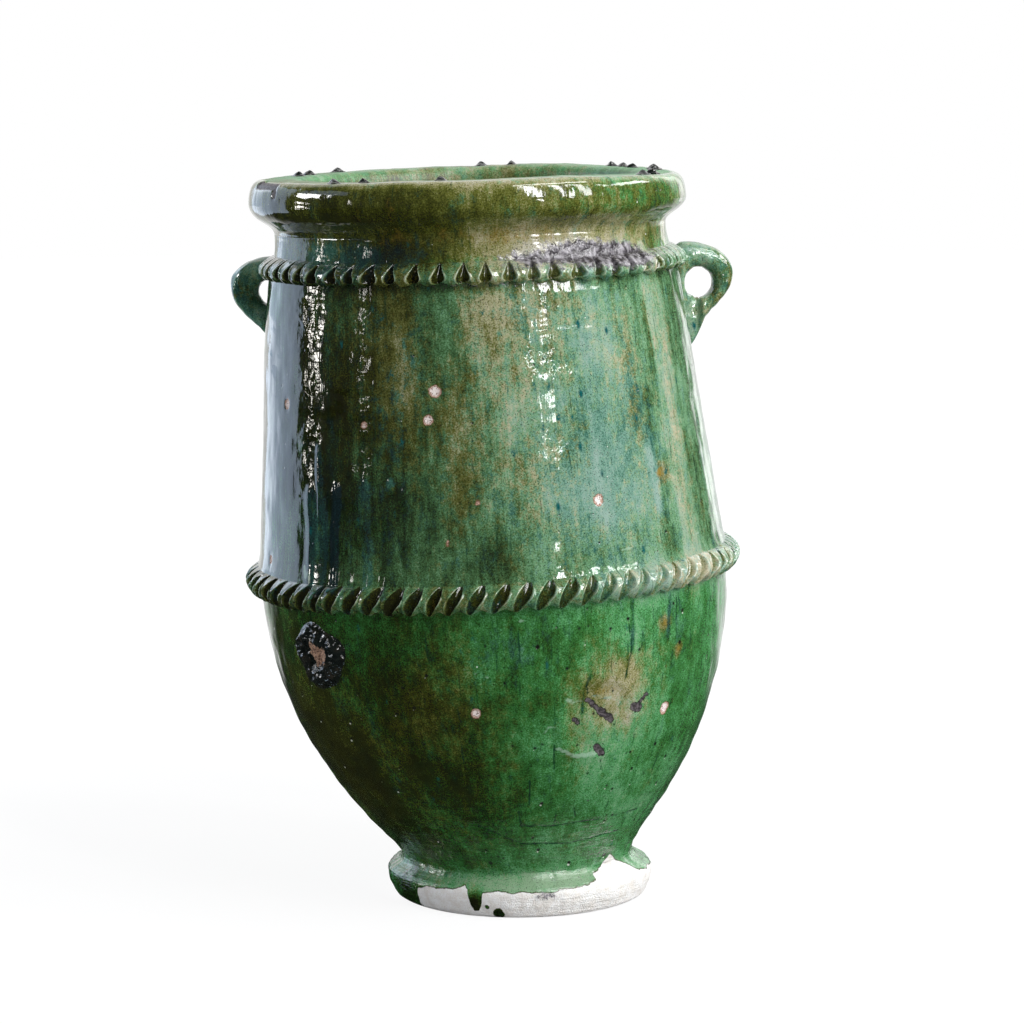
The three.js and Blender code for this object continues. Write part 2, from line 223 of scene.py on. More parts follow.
# Raised ridges, painted pale as their highlight: azimuth and height of both ends, and half the width
HIGHLIT_RIDGES = [
    (15, 151, 20.2, 142.6, 1.6),
    (20.2, 142.6, 26.3, 142.2, 1.9),
    (16.4, 193, 18.6, 189, 1.6),
    (18.6, 189, 21, 189.6, 1.3),
    (24, 191, 29, 188.5, 1.3),
    (-50.6, 300, -49.6, 292, 2.4),
    (-48.6, 296, -47.8, 290, 1.8),
    (57, 303, 61, 305, 1.2),
    (33, 304, 36, 305.5, 1.2),
    (6, 258, 7.6, 260, 1.2),
    (11, 165, 12.2, 169.6, 0.8),
    (12.2, 169.6, 15, 169.6, 0.8),
    (-8, 222, -2, 214, 0.5),
]

# Dark creases and thin drips: azimuth and height of both ends, and half the width
CREASES = [
    (33.5, 246, 34.5, 227, 0.8),
    (34.5, 227, 32.8, 202, 0.8),
    (38, 252, 37.8, 223, 0.6),
    (41.2, 258, 41.5, 214, 0.6),
    (49.5, 258, 49.2, 221, 0.6),
    (5.5, 250, 5.5, 225, 0.8),
    (0.2, 236, 0.2, 215, 0.7),
    (-16, 258, -16.4, 232, 0.6),
    (23.2, 210, 21.8, 202.4, 1.0),
    (21.8, 202.4, 22.8, 193.4, 1.0),
    (22.8, 193.4, 28.8, 187, 0.8),
    (3.7, 96, 4.5, 82, 0.7),
    (4.5, 82, 17.5, 80, 0.7),
    (17.5, 80, 33, 82, 0.7),
    (33, 82, 54.5, 83, 0.6),
    (14, 154, 14.5, 132, 0.8),
    (7.3, 124, 7.3, 101.5, 0.7),
    (28.2, 139, 29.5, 128, 0.6),
    (22.8, 96, 24.5, 86, 0.7),
    (-11, 82, 5, 64.5, 0.7),
    (5, 64.5, 24.5, 61.5, 0.7),
    (24.5, 61.5, 49.5, 66.7, 0.6),
    (-34, 104, -20, 99, 0.6),
    (120, 104, 150, 98, 0.7),
    (-150, 96, -118, 101, 0.7),
    (140, 250, 140.5, 214, 0.7),
    (-132, 252, -132.4, 220, 0.7),
]

# Thick runs of glaze: azimuth, top, bottom, half the width, how proud they stand, and how much darker and
# bluer they are
RUNS = [
    (-45.3, 397, 284, 5.5, 0.9, -0.06, 0.5),
    (-47.8, 364, 284, 10, 0.9, -0.06, 0.5),
    (-44.2, 358, 284, 7, 0.9, -0.02, 0.4),
    (-39.6, 369, 284, 5.5, 1.0, 0.26, 0.5),
    (-35.4, 362, 288, 4, 0.5, 0.02, 0.1),
    (-30.6, 374, 286, 7, 0.9, -0.04, 0.3),
    (-25.2, 367, 290, 5, 0.7, 0.06, 0.1),
    (-23.0, 372, 363, 5, 0.8, -0.26, 0.5),
    (-19.7, 368, 300, 5, 0.8, 0.12, 0.0),
    (57, 545, 284, 17, 0.3, -0.2, 0.0),
    (48.4, 430, 284, 8, 0.5, 0.12, 0.0),
    (51.5, 500, 440, 4, 0.4, 0.14, 0.0),
    (68.5, 525, 284, 14, 0.4, 0.0, 0.0),
    (97, 480, 284, 8, 0.6, 0.2, 0.2),
    (118, 420, 284, 6, 0.6, 0.2, 0.1),
    (150, 520, 330, 7, 0.6, 0.2, 0.3),
    (-95, 500, 284, 8, 0.6, 0.2, 0.1),
    (-121, 440, 284, 6, 0.6, 0.2, 0.3),
    (-148, 470, 310, 8, 0.6, 0.2, 0.1),
    (4, 262, 196, 4, 0.3, 0.1, 0.05),
    (12, 262, 214, 3, 0.3, 0.1, 0.1),
    (34.5, 264, 222, 2.0, 0.3, 0.26, 0.2),
    (33.3, 232, 202, 1.8, 0.3, 0.26, 0.2),
    (21.6, 204, 178, 1.8, 0.3, 0.26, 0.2),
    (46.5, 264, 226, 2.2, 0.3, 0.18, 0.15),
    (110, 262, 150, 6, 0.4, 0.2, 0.2),
    (-140, 262, 170, 6, 0.4, 0.2, 0.1),
]
PROUD, DARKER, BLUER = 4, 5, 6
GENTLE_FLANK, CRISP_FLANK = 0.1, 0.65

# The edge of the glaze on the foot, as pairs of an azimuth and a height
GLAZE_EDGE = [
    (-180, 25), (-140, 22), (-134, 8), (-129, 9), (-125, 22), (-104, 24), (-99, 12), (-93, 18), (-80, 12),
    (-70, 2), (-62, -3), (-51.6, -3), (-50.6, 12), (-50, 19.5), (-40, 22), (-28, 23.5), (-24.6, 26),
    (-23, 24), (-22.2, 12), (-20.8, 7), (-18.6, 7), (-17, 12), (-16.2, 22), (-10, 23.5), (0, 23),
    (8, 22.5), (17, 23.2), (29, 25.3), (37, 26), (38, 31), (45.5, 34.5), (52, 42), (59, 36), (64, 31),
    (69, 25), (90, 22), (100, 12), (107, 20), (141, 31), (165, 27),
]

# The place and form of a thumbed dish in the bowl's side
DISH_AZIMUTH = 26.0
DISH_HEIGHT = 172.0
DISH_RADIUS = 33.0
DISH_DEPTH = 1.6
DISH_RIM = 0.7

# How deep the marks sink into the skin or stand out of it
CHIP_SINK = 0.9
SCAR_SINK = 1.3
CREASE_SINK = 0.6
RIDGE_RISE = 0.4
BARE_SINK = 0.6

# The fillet that the glaze makes over the belly rope, and the groove drawn below the rope
FILLET_FOOT = 8.0
FILLET_DEPTH = 2.4
FILLET_FALL = 7.0
GROOVE_BELOW = 19.0
GROOVE_DEPTH = 0.45

# How deep in a mark a point counts as lying where there is none
UNMARKED = -50.0

# Spots of glaze on the bare clay: azimuth, height and radius
BLOBS = [(-10, 4.6, 4.6), (-14.8, 10.4, 2.0)]


def distance(turn, height, azimuth, level):
    """Millimetres on the skin from a place on it."""
    across = away(turn, azimuth) * skin_radius(level)
    return np.hypot(across, height - level)


def chip_depth(turn, height):
    """How many millimetres a point lies inside the nearest chip, below 0 outside."""
    inside = np.full(turn.shape, UNMARKED)
    for azimuth, level, radius in CHIPS:
        inside = np.maximum(inside, radius - distance(turn, height, azimuth, level))
    return inside


def streak_depth(places, turn, height):
    """The same for straight marks, each between two places."""
    inside = np.full(turn.shape, UNMARKED)
    for azimuth, level, end_azimuth, end_level, half in places:
        radius = skin_radius(level)
        along = np.array([math.radians(end_azimuth - azimuth) * radius, end_level - level])
        across, up = away(turn, azimuth) * radius, height - level
        share = np.clip((across * along[0] + up * along[1]) / (along @ along), 0, 1)
        inside = np.maximum(inside, half - np.hypot(across - share * along[0], up - share * along[1]))
    return inside


def run_cover(turn, height, column):
    """How proud, dark or blue the runs of glaze are, each with a crisp round head and a soft end.

    They stand proud with gentle sides, and their colour has crisp ones.
    """
    cover = np.zeros(turn.shape)
    for run in RUNS:
        azimuth, top, bottom, half = run[:4]
        wander = 2.2 * np.sin(height / 23 + azimuth) + 1.2 * np.sin(height / 9.7 + 2 * azimuth)
        across = away(turn, azimuth) * skin_radius(height) - wander * min(1.0, half / 9)
        crown = top - half * (across / half) ** 2
        flank = GENTLE_FLANK if column == PROUD else CRISP_FLANK
        body = smooth(np.abs(across), half, flank * half) * smooth(height, crown + 1.2, crown - 1.8)
        body = body * smooth(height, bottom - half, bottom + half)
        cover = mix(cover, run[column], body)
    return cover


def bare_depth(turn, height):
    """How many millimetres a point lies below the edge of the glaze on the foot."""
    places, heights = np.array(GLAZE_EDGE).T
    edge = np.interp(turn, np.radians(places), heights, period=2 * math.pi)
    inside = edge + 0.5 * np.sin(23 * turn) + 0.4 * np.sin(41 * turn + 1) - height
    for azimuth, level, radius in BLOBS:
        inside = np.minimum(inside, distance(turn, height, azimuth, level) - radius)
    return inside


def hand_relief(turn, height):
    """The hand's work on the clay: slow wobbles, finger rings and small lumps."""
    wobble = 1.1 * cloud(turn, height, 110, 3) + 0.7 * cloud(turn, height, 45, 4)
    spiral = height + 3 * turn / math.pi + 2.5 * cloud(turn, height, 90, 5)
    strength = (0.6 + 0.5 * cloud(turn, height, 120, 6)) * (1 + 3 * smooth(height, 150, 60))
    rings = np.sin(spiral / 1.55) * 0.04 + np.sin(spiral / 2.7 + 1) * 0.08
    lumps = 0.35 * cloud(turn, height, 17, 7) + 0.16 * cloud(turn, height, 8, 8, 1.6)
    lumps = lumps * (1 + 0.9 * smooth(height, BELLY_SEAM, 230))
    return wobble * smooth(height, 15, 70) + strength * rings + lumps


def skin_relief(turn, height):
    """All that stands out of the true skin or sinks into it."""
    relief = hand_relief(turn, height) + run_cover(turn, height, PROUD)
    crust = smooth(zones(CRUST_ZONES, turn, height), 0.3, 0.8)
    relief = relief + crust * (0.7 * cloud(turn, height, 4.5, 9) + 0.4)
    relief = relief - CHIP_SINK * smooth(chip_depth(turn, height), -0.6, 1.2)
    relief = relief - SCAR_SINK * smooth(streak_depth(SCARS, turn, height), -0.6, 1.4)
    relief = relief - CREASE_SINK * smooth(streak_depth(CREASES, turn, height), -1.2, 0.6)
    relief = relief + RIDGE_RISE * smooth(streak_depth(HIGHLIT_RIDGES, turn, height), -0.8, 0.8)
    relief = relief - BARE_SINK * smooth(bare_depth(turn, height), -1.0, 0.6)
    dish = distance(turn, height, DISH_AZIMUTH, DISH_HEIGHT)
    relief = relief - DISH_DEPTH * smooth(dish, DISH_RADIUS, DISH_RADIUS - 9)
    relief = relief + DISH_RIM * np.exp(-(((dish - DISH_RADIUS - 1) / 3.5) ** 2))
    over_rope = height - BELLY_SEAM - FILLET_FOOT
    fillet = FILLET_DEPTH * np.exp(-np.maximum(over_rope, 0) / FILLET_FALL)
    relief = relief + np.where(over_rope > -FILLET_FOOT, fillet, 0.0)
    groove = np.abs(height - BELLY_SEAM + GROOVE_BELOW + 1.5 * np.sin(turn * 2))
    return relief - GROOVE_DEPTH * smooth(groove, 1.6, 0.3)


# The glaze's usual thickness, on a scale from its thinnest to its thickest
USUAL_THICKNESS = 0.44

# Glaze zones, among them some painted shade and some painted highlight: azimuth, height, half the width,
# half the height and strength
THICK_AND_PAINTED_LIGHT_ZONES = [
    (-52, 430, 120, 130, 0.41),
    (-19.5, 472, 26, 60, -0.15),
    (1, 477, 34, 50, -0.15),
    (13, 352, 50, 50, -0.08),
    # A darker band just under the neck rope.
    (0, 518, 640, 5, 0.14),
    # Painted shade: the lip's underside is darker all round.
    (0, 571, 640, 7, 0.08),
    (-9, 478, 26, 46, 0.13),
    (43, 430, 12, 70, 0.05),
    (42, 582, 70, 20, 0.1),
    (0, 150, 640, 110, -0.03),
    # Painted highlight: a pale streak along the left edge of the run at azimuth 48.4.
    (45.6, 372, 4, 9, -0.26),
    (46.3, 340, 4, 14, -0.22),
    # Painted reflection: the lip's top edge is paler all round.
    (0, 599, 640, 4, -0.24),
    (-45, 545, 50, 12, -0.36),
    (-18, 545, 60, 14, 0.31),
    (-12, 195, 30, 50, -0.02),
    (-40, 330, 60, 50, 0.1),
    (-5, 318, 34, 34, 0.1),
    (-45, 150, 120, 120, 0.38),
    (-8, 105, 48, 42, 0.17),
    (-10, 200, 50, 50, 0.03),
    (24, 420, 80, 110, -0.18),
    (11.5, 483, 30, 30, 0.06),
    (38, 335, 44, 56, -0.14),
    (42, 480, 60, 60, -0.1),
    (57.5, 400, 15, 150, -0.05),
    (29, 190, 38, 42, -0.15),
    (48, 200, 60, 60, -0.04),
    (42, 110, 60, 50, -0.12),
    (-50, 585, 110, 40, 0.1),
    (-10, 582, 50, 24, 0.16),
    (-60, 540, 90, 30, 0.05),
    (1, 590, 26, 18, -0.08),
    (20, 548, 80, 18, -0.29),
    (10, 29, 140, 9, -0.44),
    (-20, 12, 9, 11, 0.5),
    (-10, 5, 8, 6, 0.5),
    (-58, 10, 26, 12, 0.2),
    (45, 278, 90, 16, -0.35),
    (150, 400, 120, 120, 0.12),
    (-140, 180, 120, 100, 0.12),
    (110, 200, 90, 90, -0.1),
    (-170, 470, 80, 70, -0.2),
]
BROWN_ZONES = [
    (4, 470, 40, 60, 0.28),
    (10, 365, 60, 50, 0.2),
    (-8.5, 485, 16, 34, -0.36),
    (12, 500, 60, 26, 0.28),
    (-22, 470, 30, 80, 0.42),
    (-44, 440, 50, 90, 0.34),
    (-6, 400, 18, 70, 0.26),
    (-40, 140, 90, 90, 0.36),
    (-14, 200, 40, 50, 0.27),
    (-8, 102, 50, 36, 0.1),
    (30, 188, 40, 36, 0.46),
    (27.5, 195, 15, 6, 0.6),
    (33, 206, 12, 10, 0.3),
    (43, 430, 14, 70, 0.3),
    (48.5, 360, 9, 7, 1.2),
    (45.2, 241, 6, 5, 1.2),
    (50.5, 217, 4, 5, 1.2),
    (57.5, 400, 15, 150, 0.26),
    (55, 278, 60, 12, 0.12),
    (-62, 150, 50, 120, 0.3),
    (0, 556, 560, 16, 0.3),
    (12, 556, 90, 14, 0.45),
    (0, 590, 200, 22, 0.4),
    (-60, 590, 120, 30, 0.2),
    (45, 588, 50, 20, -0.1),
    (160, 500, 90, 60, 0.4),
    (-130, 300, 70, 90, 0.4),
    (180, 588, 160, 30, 0.4),
    (120, 130, 70, 60, 0.4),
    (-20, 12, 9, 11, 0.3),
]
TEAL_AND_PAINTED_LIGHT_ZONES = [
    (31, 430, 50, 100, 0.34),
    (34, 350, 50, 60, 0.2),
    (20, 340, 60, 50, 0.14),
    (-21, 440, 22, 60, 0.2),
    (5, 236, 34, 30, 0.14),
    (46, 245, 24, 44, 0.12),
    (-30, 540, 50, 14, 0.4),
    (-48, 545, 40, 12, 0.3),
    # Tints the same painted highlight streak bluish.
    (45.9, 356, 5, 30, 0.5),
    (55, 278, 60, 12, 0.14),
    (-150, 420, 80, 100, 0.4),
    (95, 330, 60, 90, 0.4),
    (170, 200, 80, 70, 0.35),
]
CRUST_ZONES = [
    (32, 541, 46, 11, 0.9),
    (48, 534, 40, 10, 0.9),
    (14, 536, 26, 9, 0.5),
    (2, 519, 70, 4, 0.4),
    (-8, 271, 60, 3, 0.3),
    (-160, 534, 60, 10, 0.7),
    (11, 19.5, 11, 4.5, 0.75),
]


def zones(places, turn, height):
    """The sum of soft oval zones."""
    total = np.zeros(turn.shape)
    for azimuth, level, half_width, half_height, strength in places:
        across = away(turn, azimuth) * skin_radius(level) / half_width
        up = (height - level) / half_height
        total = total + strength * np.exp(-across**2 - up**2)
    return total


# Where the glaze is uneven and sparkles: azimuth, height, half the width, half the height and strength
SPARK_ZONES = [
    (18.8, 509, 15, 9, 1.4),
    (18.2, 455, 17, 13, 2.6),
    (16.8, 388, 14, 12, 2.8),
    (24, 340, 8, 7, 0.6),
    (-51, 493, 18, 18, 1.8),
    (-51, 442, 14, 14, 1.6),
    (-50, 398, 14, 18, 1.8),
    (-51, 358, 10, 10, 1.0),
    (-31, 480, 12, 26, 1.4),
    (-31, 410, 12, 44, 1.5),
    (35, 288, 110, 5, 1.8),
    (-29, 371, 12, 5, 0.8),
    (0, 588, 640, 20, 0.12),
    (0, 545, 640, 10, 0.5),
    (-100, 440, 30, 60, 0.8),
    (125, 460, 30, 50, 0.9),
    (170, 330, 30, 40, 0.8),
]


def fields(turn, height, arc, radius):
    """What the materials read at each point: places in metres, depths in millimetres and plain shares."""
    flow = on_ring(turn, BELLY_RADIUS, 0.0)
    flow[..., 2] = arc
    return {
        "flow": flow * MM,
        "place": on_ring(turn, radius, height) * MM,
        # The thickness share also carries painted shade and painted highlight from some zones.
        "thick": USUAL_THICKNESS + zones(THICK_AND_PAINTED_LIGHT_ZONES, turn, height) + run_cover(turn, height, DARKER),
        "brown": zones(BROWN_ZONES, turn, height) - 0.3 * run_cover(turn, height, BLUER),
        "teal": zones(TEAL_AND_PAINTED_LIGHT_ZONES, turn, height) + run_cover(turn, height, BLUER),
        "crust": zones(CRUST_ZONES, turn, height),
        "spark": zones(SPARK_ZONES, turn, height),
        "bare": bare_depth(turn, height),
        "chip": chip_depth(turn, height),
        "scar": streak_depth(SCARS, turn, height),
        "ridge_highlight": streak_depth(HIGHLIT_RIDGES, turn, height),
        "crease": streak_depth(CREASES, turn, height),
    }


def grid_faces(rows, columns, closed_rows):
    """Quads of a grid whose columns close on themselves, and whose rows do too where asked."""
    row = np.arange(rows if closed_rows else rows - 1)[:, None]
    column = np.arange(columns)[None, :]
    after_row, after_column = (row + 1) % rows, (column + 1) % columns
    corners = [row * columns + column, row * columns + after_column]
    corners += [after_row * columns + after_column, after_row * columns + column]
    return np.stack(np.broadcast_arrays(*corners), -1).reshape(-1, 4)


def grid_map(rows, columns, closed_rows):
    """The map coordinates of those quads' corners."""
    row = np.arange(rows if closed_rows else rows - 1)[:, None]
    column = np.arange(columns)[None, :]
    last_row = rows if closed_rows else rows - 1
    across = [column, column + 1, column + 1, column]
    up = [row, row, row + 1, row + 1]
    pairs = [np.stack(np.broadcast_arrays(u / columns, v / last_row), -1) for u, v in zip(across, up)]
    return np.stack(pairs, -2).reshape(-1, 2)


def make_piece(name, points, values, material, closed_rows, node=None):
    """A closed piece from a grid of points in millimetres. Open grids get a fan over either end."""
    rows, columns = points.shape[:2]
    flat = points.reshape(-1, 3)
    faces = grid_faces(rows, columns, closed_rows).tolist()
    spots = grid_map(rows, columns, closed_rows)
    values = {key: value.reshape(rows * columns, -1) for key, value in values.items()}
    if not closed_rows:
        first, last = rows * columns, rows * columns + 1
        flat = np.vstack([flat, points[0].mean(0), points[-1].mean(0)])
        turns = range(columns)
        top = (rows - 1) * columns
        faces += [[first, (turn + 1) % columns, turn] for turn in turns]
        faces += [[last, top + turn, top + (turn + 1) % columns] for turn in turns]
        fan = np.array([[turn + 0.5, turn + 1, turn] for turn in turns]) / columns
        rims = [np.stack([fan, np.full(fan.shape, edge)], -1).reshape(-1, 2) for edge in (0.0, 1.0)]
        spots = np.vstack([spots, *rims])
        for key, value in values.items():
            ends = [value[:columns].mean(0), value[-columns:].mean(0)]
            values[key] = np.vstack([value, *ends])
    mesh = bpy.data.meshes.new(name)
    mesh.from_pydata((flat * MM).tolist(), [], faces)
    mesh.shade_smooth()
    mesh.uv_layers.new(name="OFBake").data.foreach_set("uv", spots.astype(np.float32).ravel())
    for key, value in values.items():
        kind, socket = ("FLOAT_VECTOR", "vector") if value.shape[1] == 3 else ("FLOAT", "value")
        attribute = mesh.attributes.new(key, kind, "POINT")
        attribute.data.foreach_set(socket, value.astype(np.float32).ravel())
    mesh.materials.append(material)
    piece = bpy.data.objects.new(name, mesh)
    bpy.context.scene.collection.objects.link(piece)
    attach(piece, "root")
    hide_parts(node or name.removesuffix("_glazed"))
    return piece


# The fields that say how deep a point lies in a mark
OUTER_MARKS = ("chip", "scar", "ridge_highlight", "crease")
MARKS = ("bare", *OUTER_MARKS)

# How far a piece's ends are tucked along the skin and under it, and how much greener the inside is
TUCK_ALONG = 2.5
TUCK_UNDER = 2.0
GREENER_INSIDE = 0.15


def outline_normals(outline):
    """The directions along an outline and out of it at each of its points."""
    forward = np.gradient(outline, axis=0)
    length = np.maximum(np.hypot(forward[:, 0], forward[:, 1]), 1e-6)
    return forward / length[:, None], np.stack([forward[:, 1], -forward[:, 0]], -1) / length[:, None]


def turned_piece(name, outside, inside, material, on_axis=False, topmost=False):
    """A piece of revolution. Its outline runs up outside, with the skin's relief, and down inside.

    The ends of its outside are tucked a little under its neighbours, so that no seam shows between them.
    A piece on the axis has no neighbour below, and the topmost has none above.
    """
    forward, normal = outline_normals(outside)
    above = outside[-1] + TUCK_ALONG * forward[-1] - TUCK_UNDER * normal[-1]
    below = outside[0] - TUCK_ALONG * forward[0] - TUCK_UNDER * normal[0]
    below[1] = max(below[1], 0.0)
    parts = [outside, inside] if topmost else [outside, above, inside]
    outline = np.vstack(parts if on_axis else [*parts, below])
    inner_normal = outline_normals(outline[len(outside):])[1]
    normal = np.vstack([normal, inner_normal])
    arc = np.concatenate([[0], np.cumsum(np.hypot(*np.diff(outline, axis=0).T))]) + outside[0, 1]
    turn = np.linspace(-math.pi, math.pi, BODY_COLUMNS, endpoint=False)[None, :]
    height = outline[:, 1][:, None] + 0 * turn
    turn = turn + 0 * height
    outer = np.arange(len(outline))[:, None] < len(outside)
    relief = np.where(outer, skin_relief(turn, height), hand_relief(turn, height))
    ground = smooth(height, 0.5, 6.0)
    radius = outline[:, 0][:, None] + relief * normal[:, 0][:, None] * ground
    lifted = height + relief * normal[:, 1][:, None] * ground
    points = leaned(on_ring(turn, radius, lifted))
    values = fields(turn, height, arc[:, None] + 0 * turn, radius)
    values["brown"] = values["brown"] - np.where(outer, 0.0, GREENER_INSIDE)
    values["matte"] = np.where(outer, 0.0, 1.0) + 0 * turn
    values["crust"] = np.where(outer, values["crust"], 0.0)
    for mark in OUTER_MARKS:
        values[mark] = np.where(outer, values[mark], UNMARKED)
    return make_piece(name, points, values, material, closed_rows=not on_axis)


class Shader:
    """Builds the nodes of a material or a world with short calls that return output sockets."""

    def __init__(self, owner):
        owner.use_nodes = True
        self.owner = owner
        self.nodes = owner.node_tree.nodes
        self.links = owner.node_tree.links

    def put(self, socket, value):
        if isinstance(value, bpy.types.NodeSocket):
            self.links.new(value, socket)
        else:
            socket.default_value = value

    def field(self, name):
        node = self.nodes.new("ShaderNodeAttribute")
        node.attribute_name = name
        return node.outputs["Vector" if name in ("flow", "place") else "Fac"]

    def level(self):
        """The height in metres."""
        node = self.nodes.new("ShaderNodeSeparateXYZ")
        self.put(node.inputs[0], self.field("place"))
        return node.outputs["Z"]

    def calc(self, operation, first, second=0.0, third=0.0):
        node = self.nodes.new("ShaderNodeMath")
        node.operation = operation
        for socket, value in zip(node.inputs, (first, second, third)):
            self.put(socket, value)
        return node.outputs[0]

    def add(self, *values):
        """The sum of several values. A pair stands for its product."""
        total = 0.0
        for value in values:
            if isinstance(value, tuple):
                total = self.calc("MULTIPLY_ADD", value[0], value[1], total)
            else:
                total = self.calc("ADD", value, total)
        return total

    def vector(self, operation, first, second=(0, 0, 0)):
        node = self.nodes.new("ShaderNodeVectorMath")
        node.operation = operation
        self.put(node.inputs[0], first)
        self.put(node.inputs[1], second)
        return node.outputs["Vector" if operation == "NORMALIZE" else "Value"]

    def step(self, value, low, high, least=0.0, most=1.0, slope="SMOOTHSTEP"):
        """A value that goes from least to most while the given one goes from low to high."""
        node = self.nodes.new("ShaderNodeMapRange")
        node.interpolation_type = slope
        for socket, amount in zip(node.inputs, (value, low, high, least, most)):
            self.put(socket, amount)
        return node.outputs[0]

    def blend(self, share, first, second):
        node = self.nodes.new("ShaderNodeMix")
        node.data_type = "RGBA"
        self.put(node.inputs["Factor"], share)
        self.put(node.inputs["A"], first)
        self.put(node.inputs["B"], second)
        return node.outputs["Result"]

    def ramp(self, value, *stops):
        node = self.nodes.new("ShaderNodeValToRGB")
        self.put(node.inputs[0], value)
        elements = node.color_ramp.elements
        while len(elements) < len(stops):
            elements.new(0.5)
        for element, (place, colour) in zip(elements, stops):
            element.position = place
            element.color = colour
        return node.outputs[0]

    def mapped(self, size, stretch, shift):
        """The place on the jar in lumps of a size in millimetres, drawn out downwards by the stretch."""
        node = self.nodes.new("ShaderNodeMapping")
        self.put(node.inputs["Vector"], self.field("flow" if stretch > 2 else "place"))
        node.inputs["Location"].default_value = (shift, -shift, 2 * shift)
        across = 1 / (size * MM)
        node.inputs["Scale"].default_value = (across, across, across / stretch)
        return node.outputs[0]

    def noise(self, size, stretch=1.0, detail=2.0, shift=0.0):
        """Noise from about -0.5 to 0.5."""
        node = self.nodes.new("ShaderNodeTexNoise")
        self.put(node.inputs["Vector"], self.mapped(size, stretch, shift))
        node.inputs["Scale"].default_value = 1.0
        node.inputs["Detail"].default_value = detail
        node.inputs["Roughness"].default_value = 0.6
        return self.calc("SUBTRACT", node.outputs["Fac"], 0.5)

    def dots(self, size, shift=0.0, stretch=1.0, spread=0.0):
        """The distance to the nearest dot in shares of their spacing, and up to a spread more."""
        node = self.nodes.new("ShaderNodeTexVoronoi")
        self.put(node.inputs["Vector"], self.mapped(size, stretch, shift))
        node.inputs["Scale"].default_value = 1.0
        return self.add(node.outputs["Distance"], (node.outputs["Color"], spread))

    def bump(self, height, depth):
        node = self.nodes.new("ShaderNodeBump")
        node.inputs["Strength"].default_value = 1.0
        node.inputs["Distance"].default_value = depth * MM
        self.put(node.inputs["Height"], height)
        return node.outputs[0]


def rgb(red, green, blue):
    return (red, green, blue, 1.0)


# Colours of the glaze from its thinnest to its thickest, as linear values at these thicknesses
COAT_STOPS = (0.0, 0.25, 0.45, 0.68, 0.95)
GREEN_COAT = [
    rgb(0.27, 0.36, 0.26), rgb(0.135, 0.285, 0.15), rgb(0.058, 0.14, 0.055), rgb(0.019, 0.041, 0.013),
    rgb(0.007, 0.012, 0.005),
]
FRESH_COAT = [
    rgb(0.24, 0.37, 0.23), rgb(0.092, 0.305, 0.118), rgb(0.034, 0.155, 0.034), rgb(0.014, 0.047, 0.007),
    rgb(0.007, 0.013, 0.003),
]
BROWN_COAT = [
    rgb(0.44, 0.4, 0.28), rgb(0.3, 0.3, 0.175), rgb(0.115, 0.125, 0.034), rgb(0.036, 0.041, 0.006),
    rgb(0.012, 0.013, 0.003),
]
GOLD_COAT = [
    rgb(0.45, 0.43, 0.35), rgb(0.3, 0.285, 0.145), rgb(0.115, 0.128, 0.025), rgb(0.036, 0.042, 0.005),
    rgb(0.012, 0.013, 0.003),
]
TEAL_COAT = [
    rgb(0.24, 0.35, 0.3), rgb(0.14, 0.275, 0.21), rgb(0.045, 0.14, 0.1), rgb(0.017, 0.048, 0.043),
    rgb(0.008, 0.019, 0.022),
]
GLAZE_RIM = rgb(0.036, 0.041, 0.006)
CRUST_DARK = rgb(0.03, 0.025, 0.03)
CRUST_PALE = rgb(0.29, 0.275, 0.3)
CLAY_PALE = rgb(0.87, 0.87, 0.87)
CLAY_WARM = rgb(0.74, 0.7, 0.66)
CHIP_PALE = rgb(0.8, 0.72, 0.7)
CHIP_PINK = rgb(0.45, 0.28, 0.21)
CHIP_BROWN = rgb(0.15, 0.07, 0.04)
OCHRE = rgb(0.24, 0.16, 0.03)
PAINTED_GLINT_BLUE = rgb(0.3, 0.38, 0.46)
BURNT_STOPS = (0.2, 0.5, 0.8)
BURNT_COAT = [rgb(0.004, 0.006, 0.006), rgb(0.01, 0.014, 0.012), rgb(0.03, 0.025, 0.018)]
TORN_DARK = rgb(0.08, 0.035, 0.02)
TORN_PALE = rgb(0.52, 0.31, 0.2)
SCAR_PALE = rgb(0.12, 0.1, 0.11)
SCAR_DARK = rgb(0.02, 0.016, 0.018)
RIDGE_HIGHLIGHT_PALE = rgb(0.34, 0.48, 0.38)
SPECK = rgb(0.008, 0.01, 0.007)
WHITE_SPECK_AND_GLINT = rgb(0.7, 0.7, 0.66)
DOT_TEAL = rgb(0.008, 0.085, 0.085)
DRIP_GREEN = rgb(0.006, 0.032, 0.016)

# The heights in metres between which throwing rings come to show in the glaze
RINGED_BELOW = 0.14
RINGED_FULLY = 0.05

# How deep the fine relief of the materials is, and how strongly the glaze mirrors
GLAZE_BUMP = 0.8
BURNT_BUMP = 4.5
GLAZE_IOR = 1.6


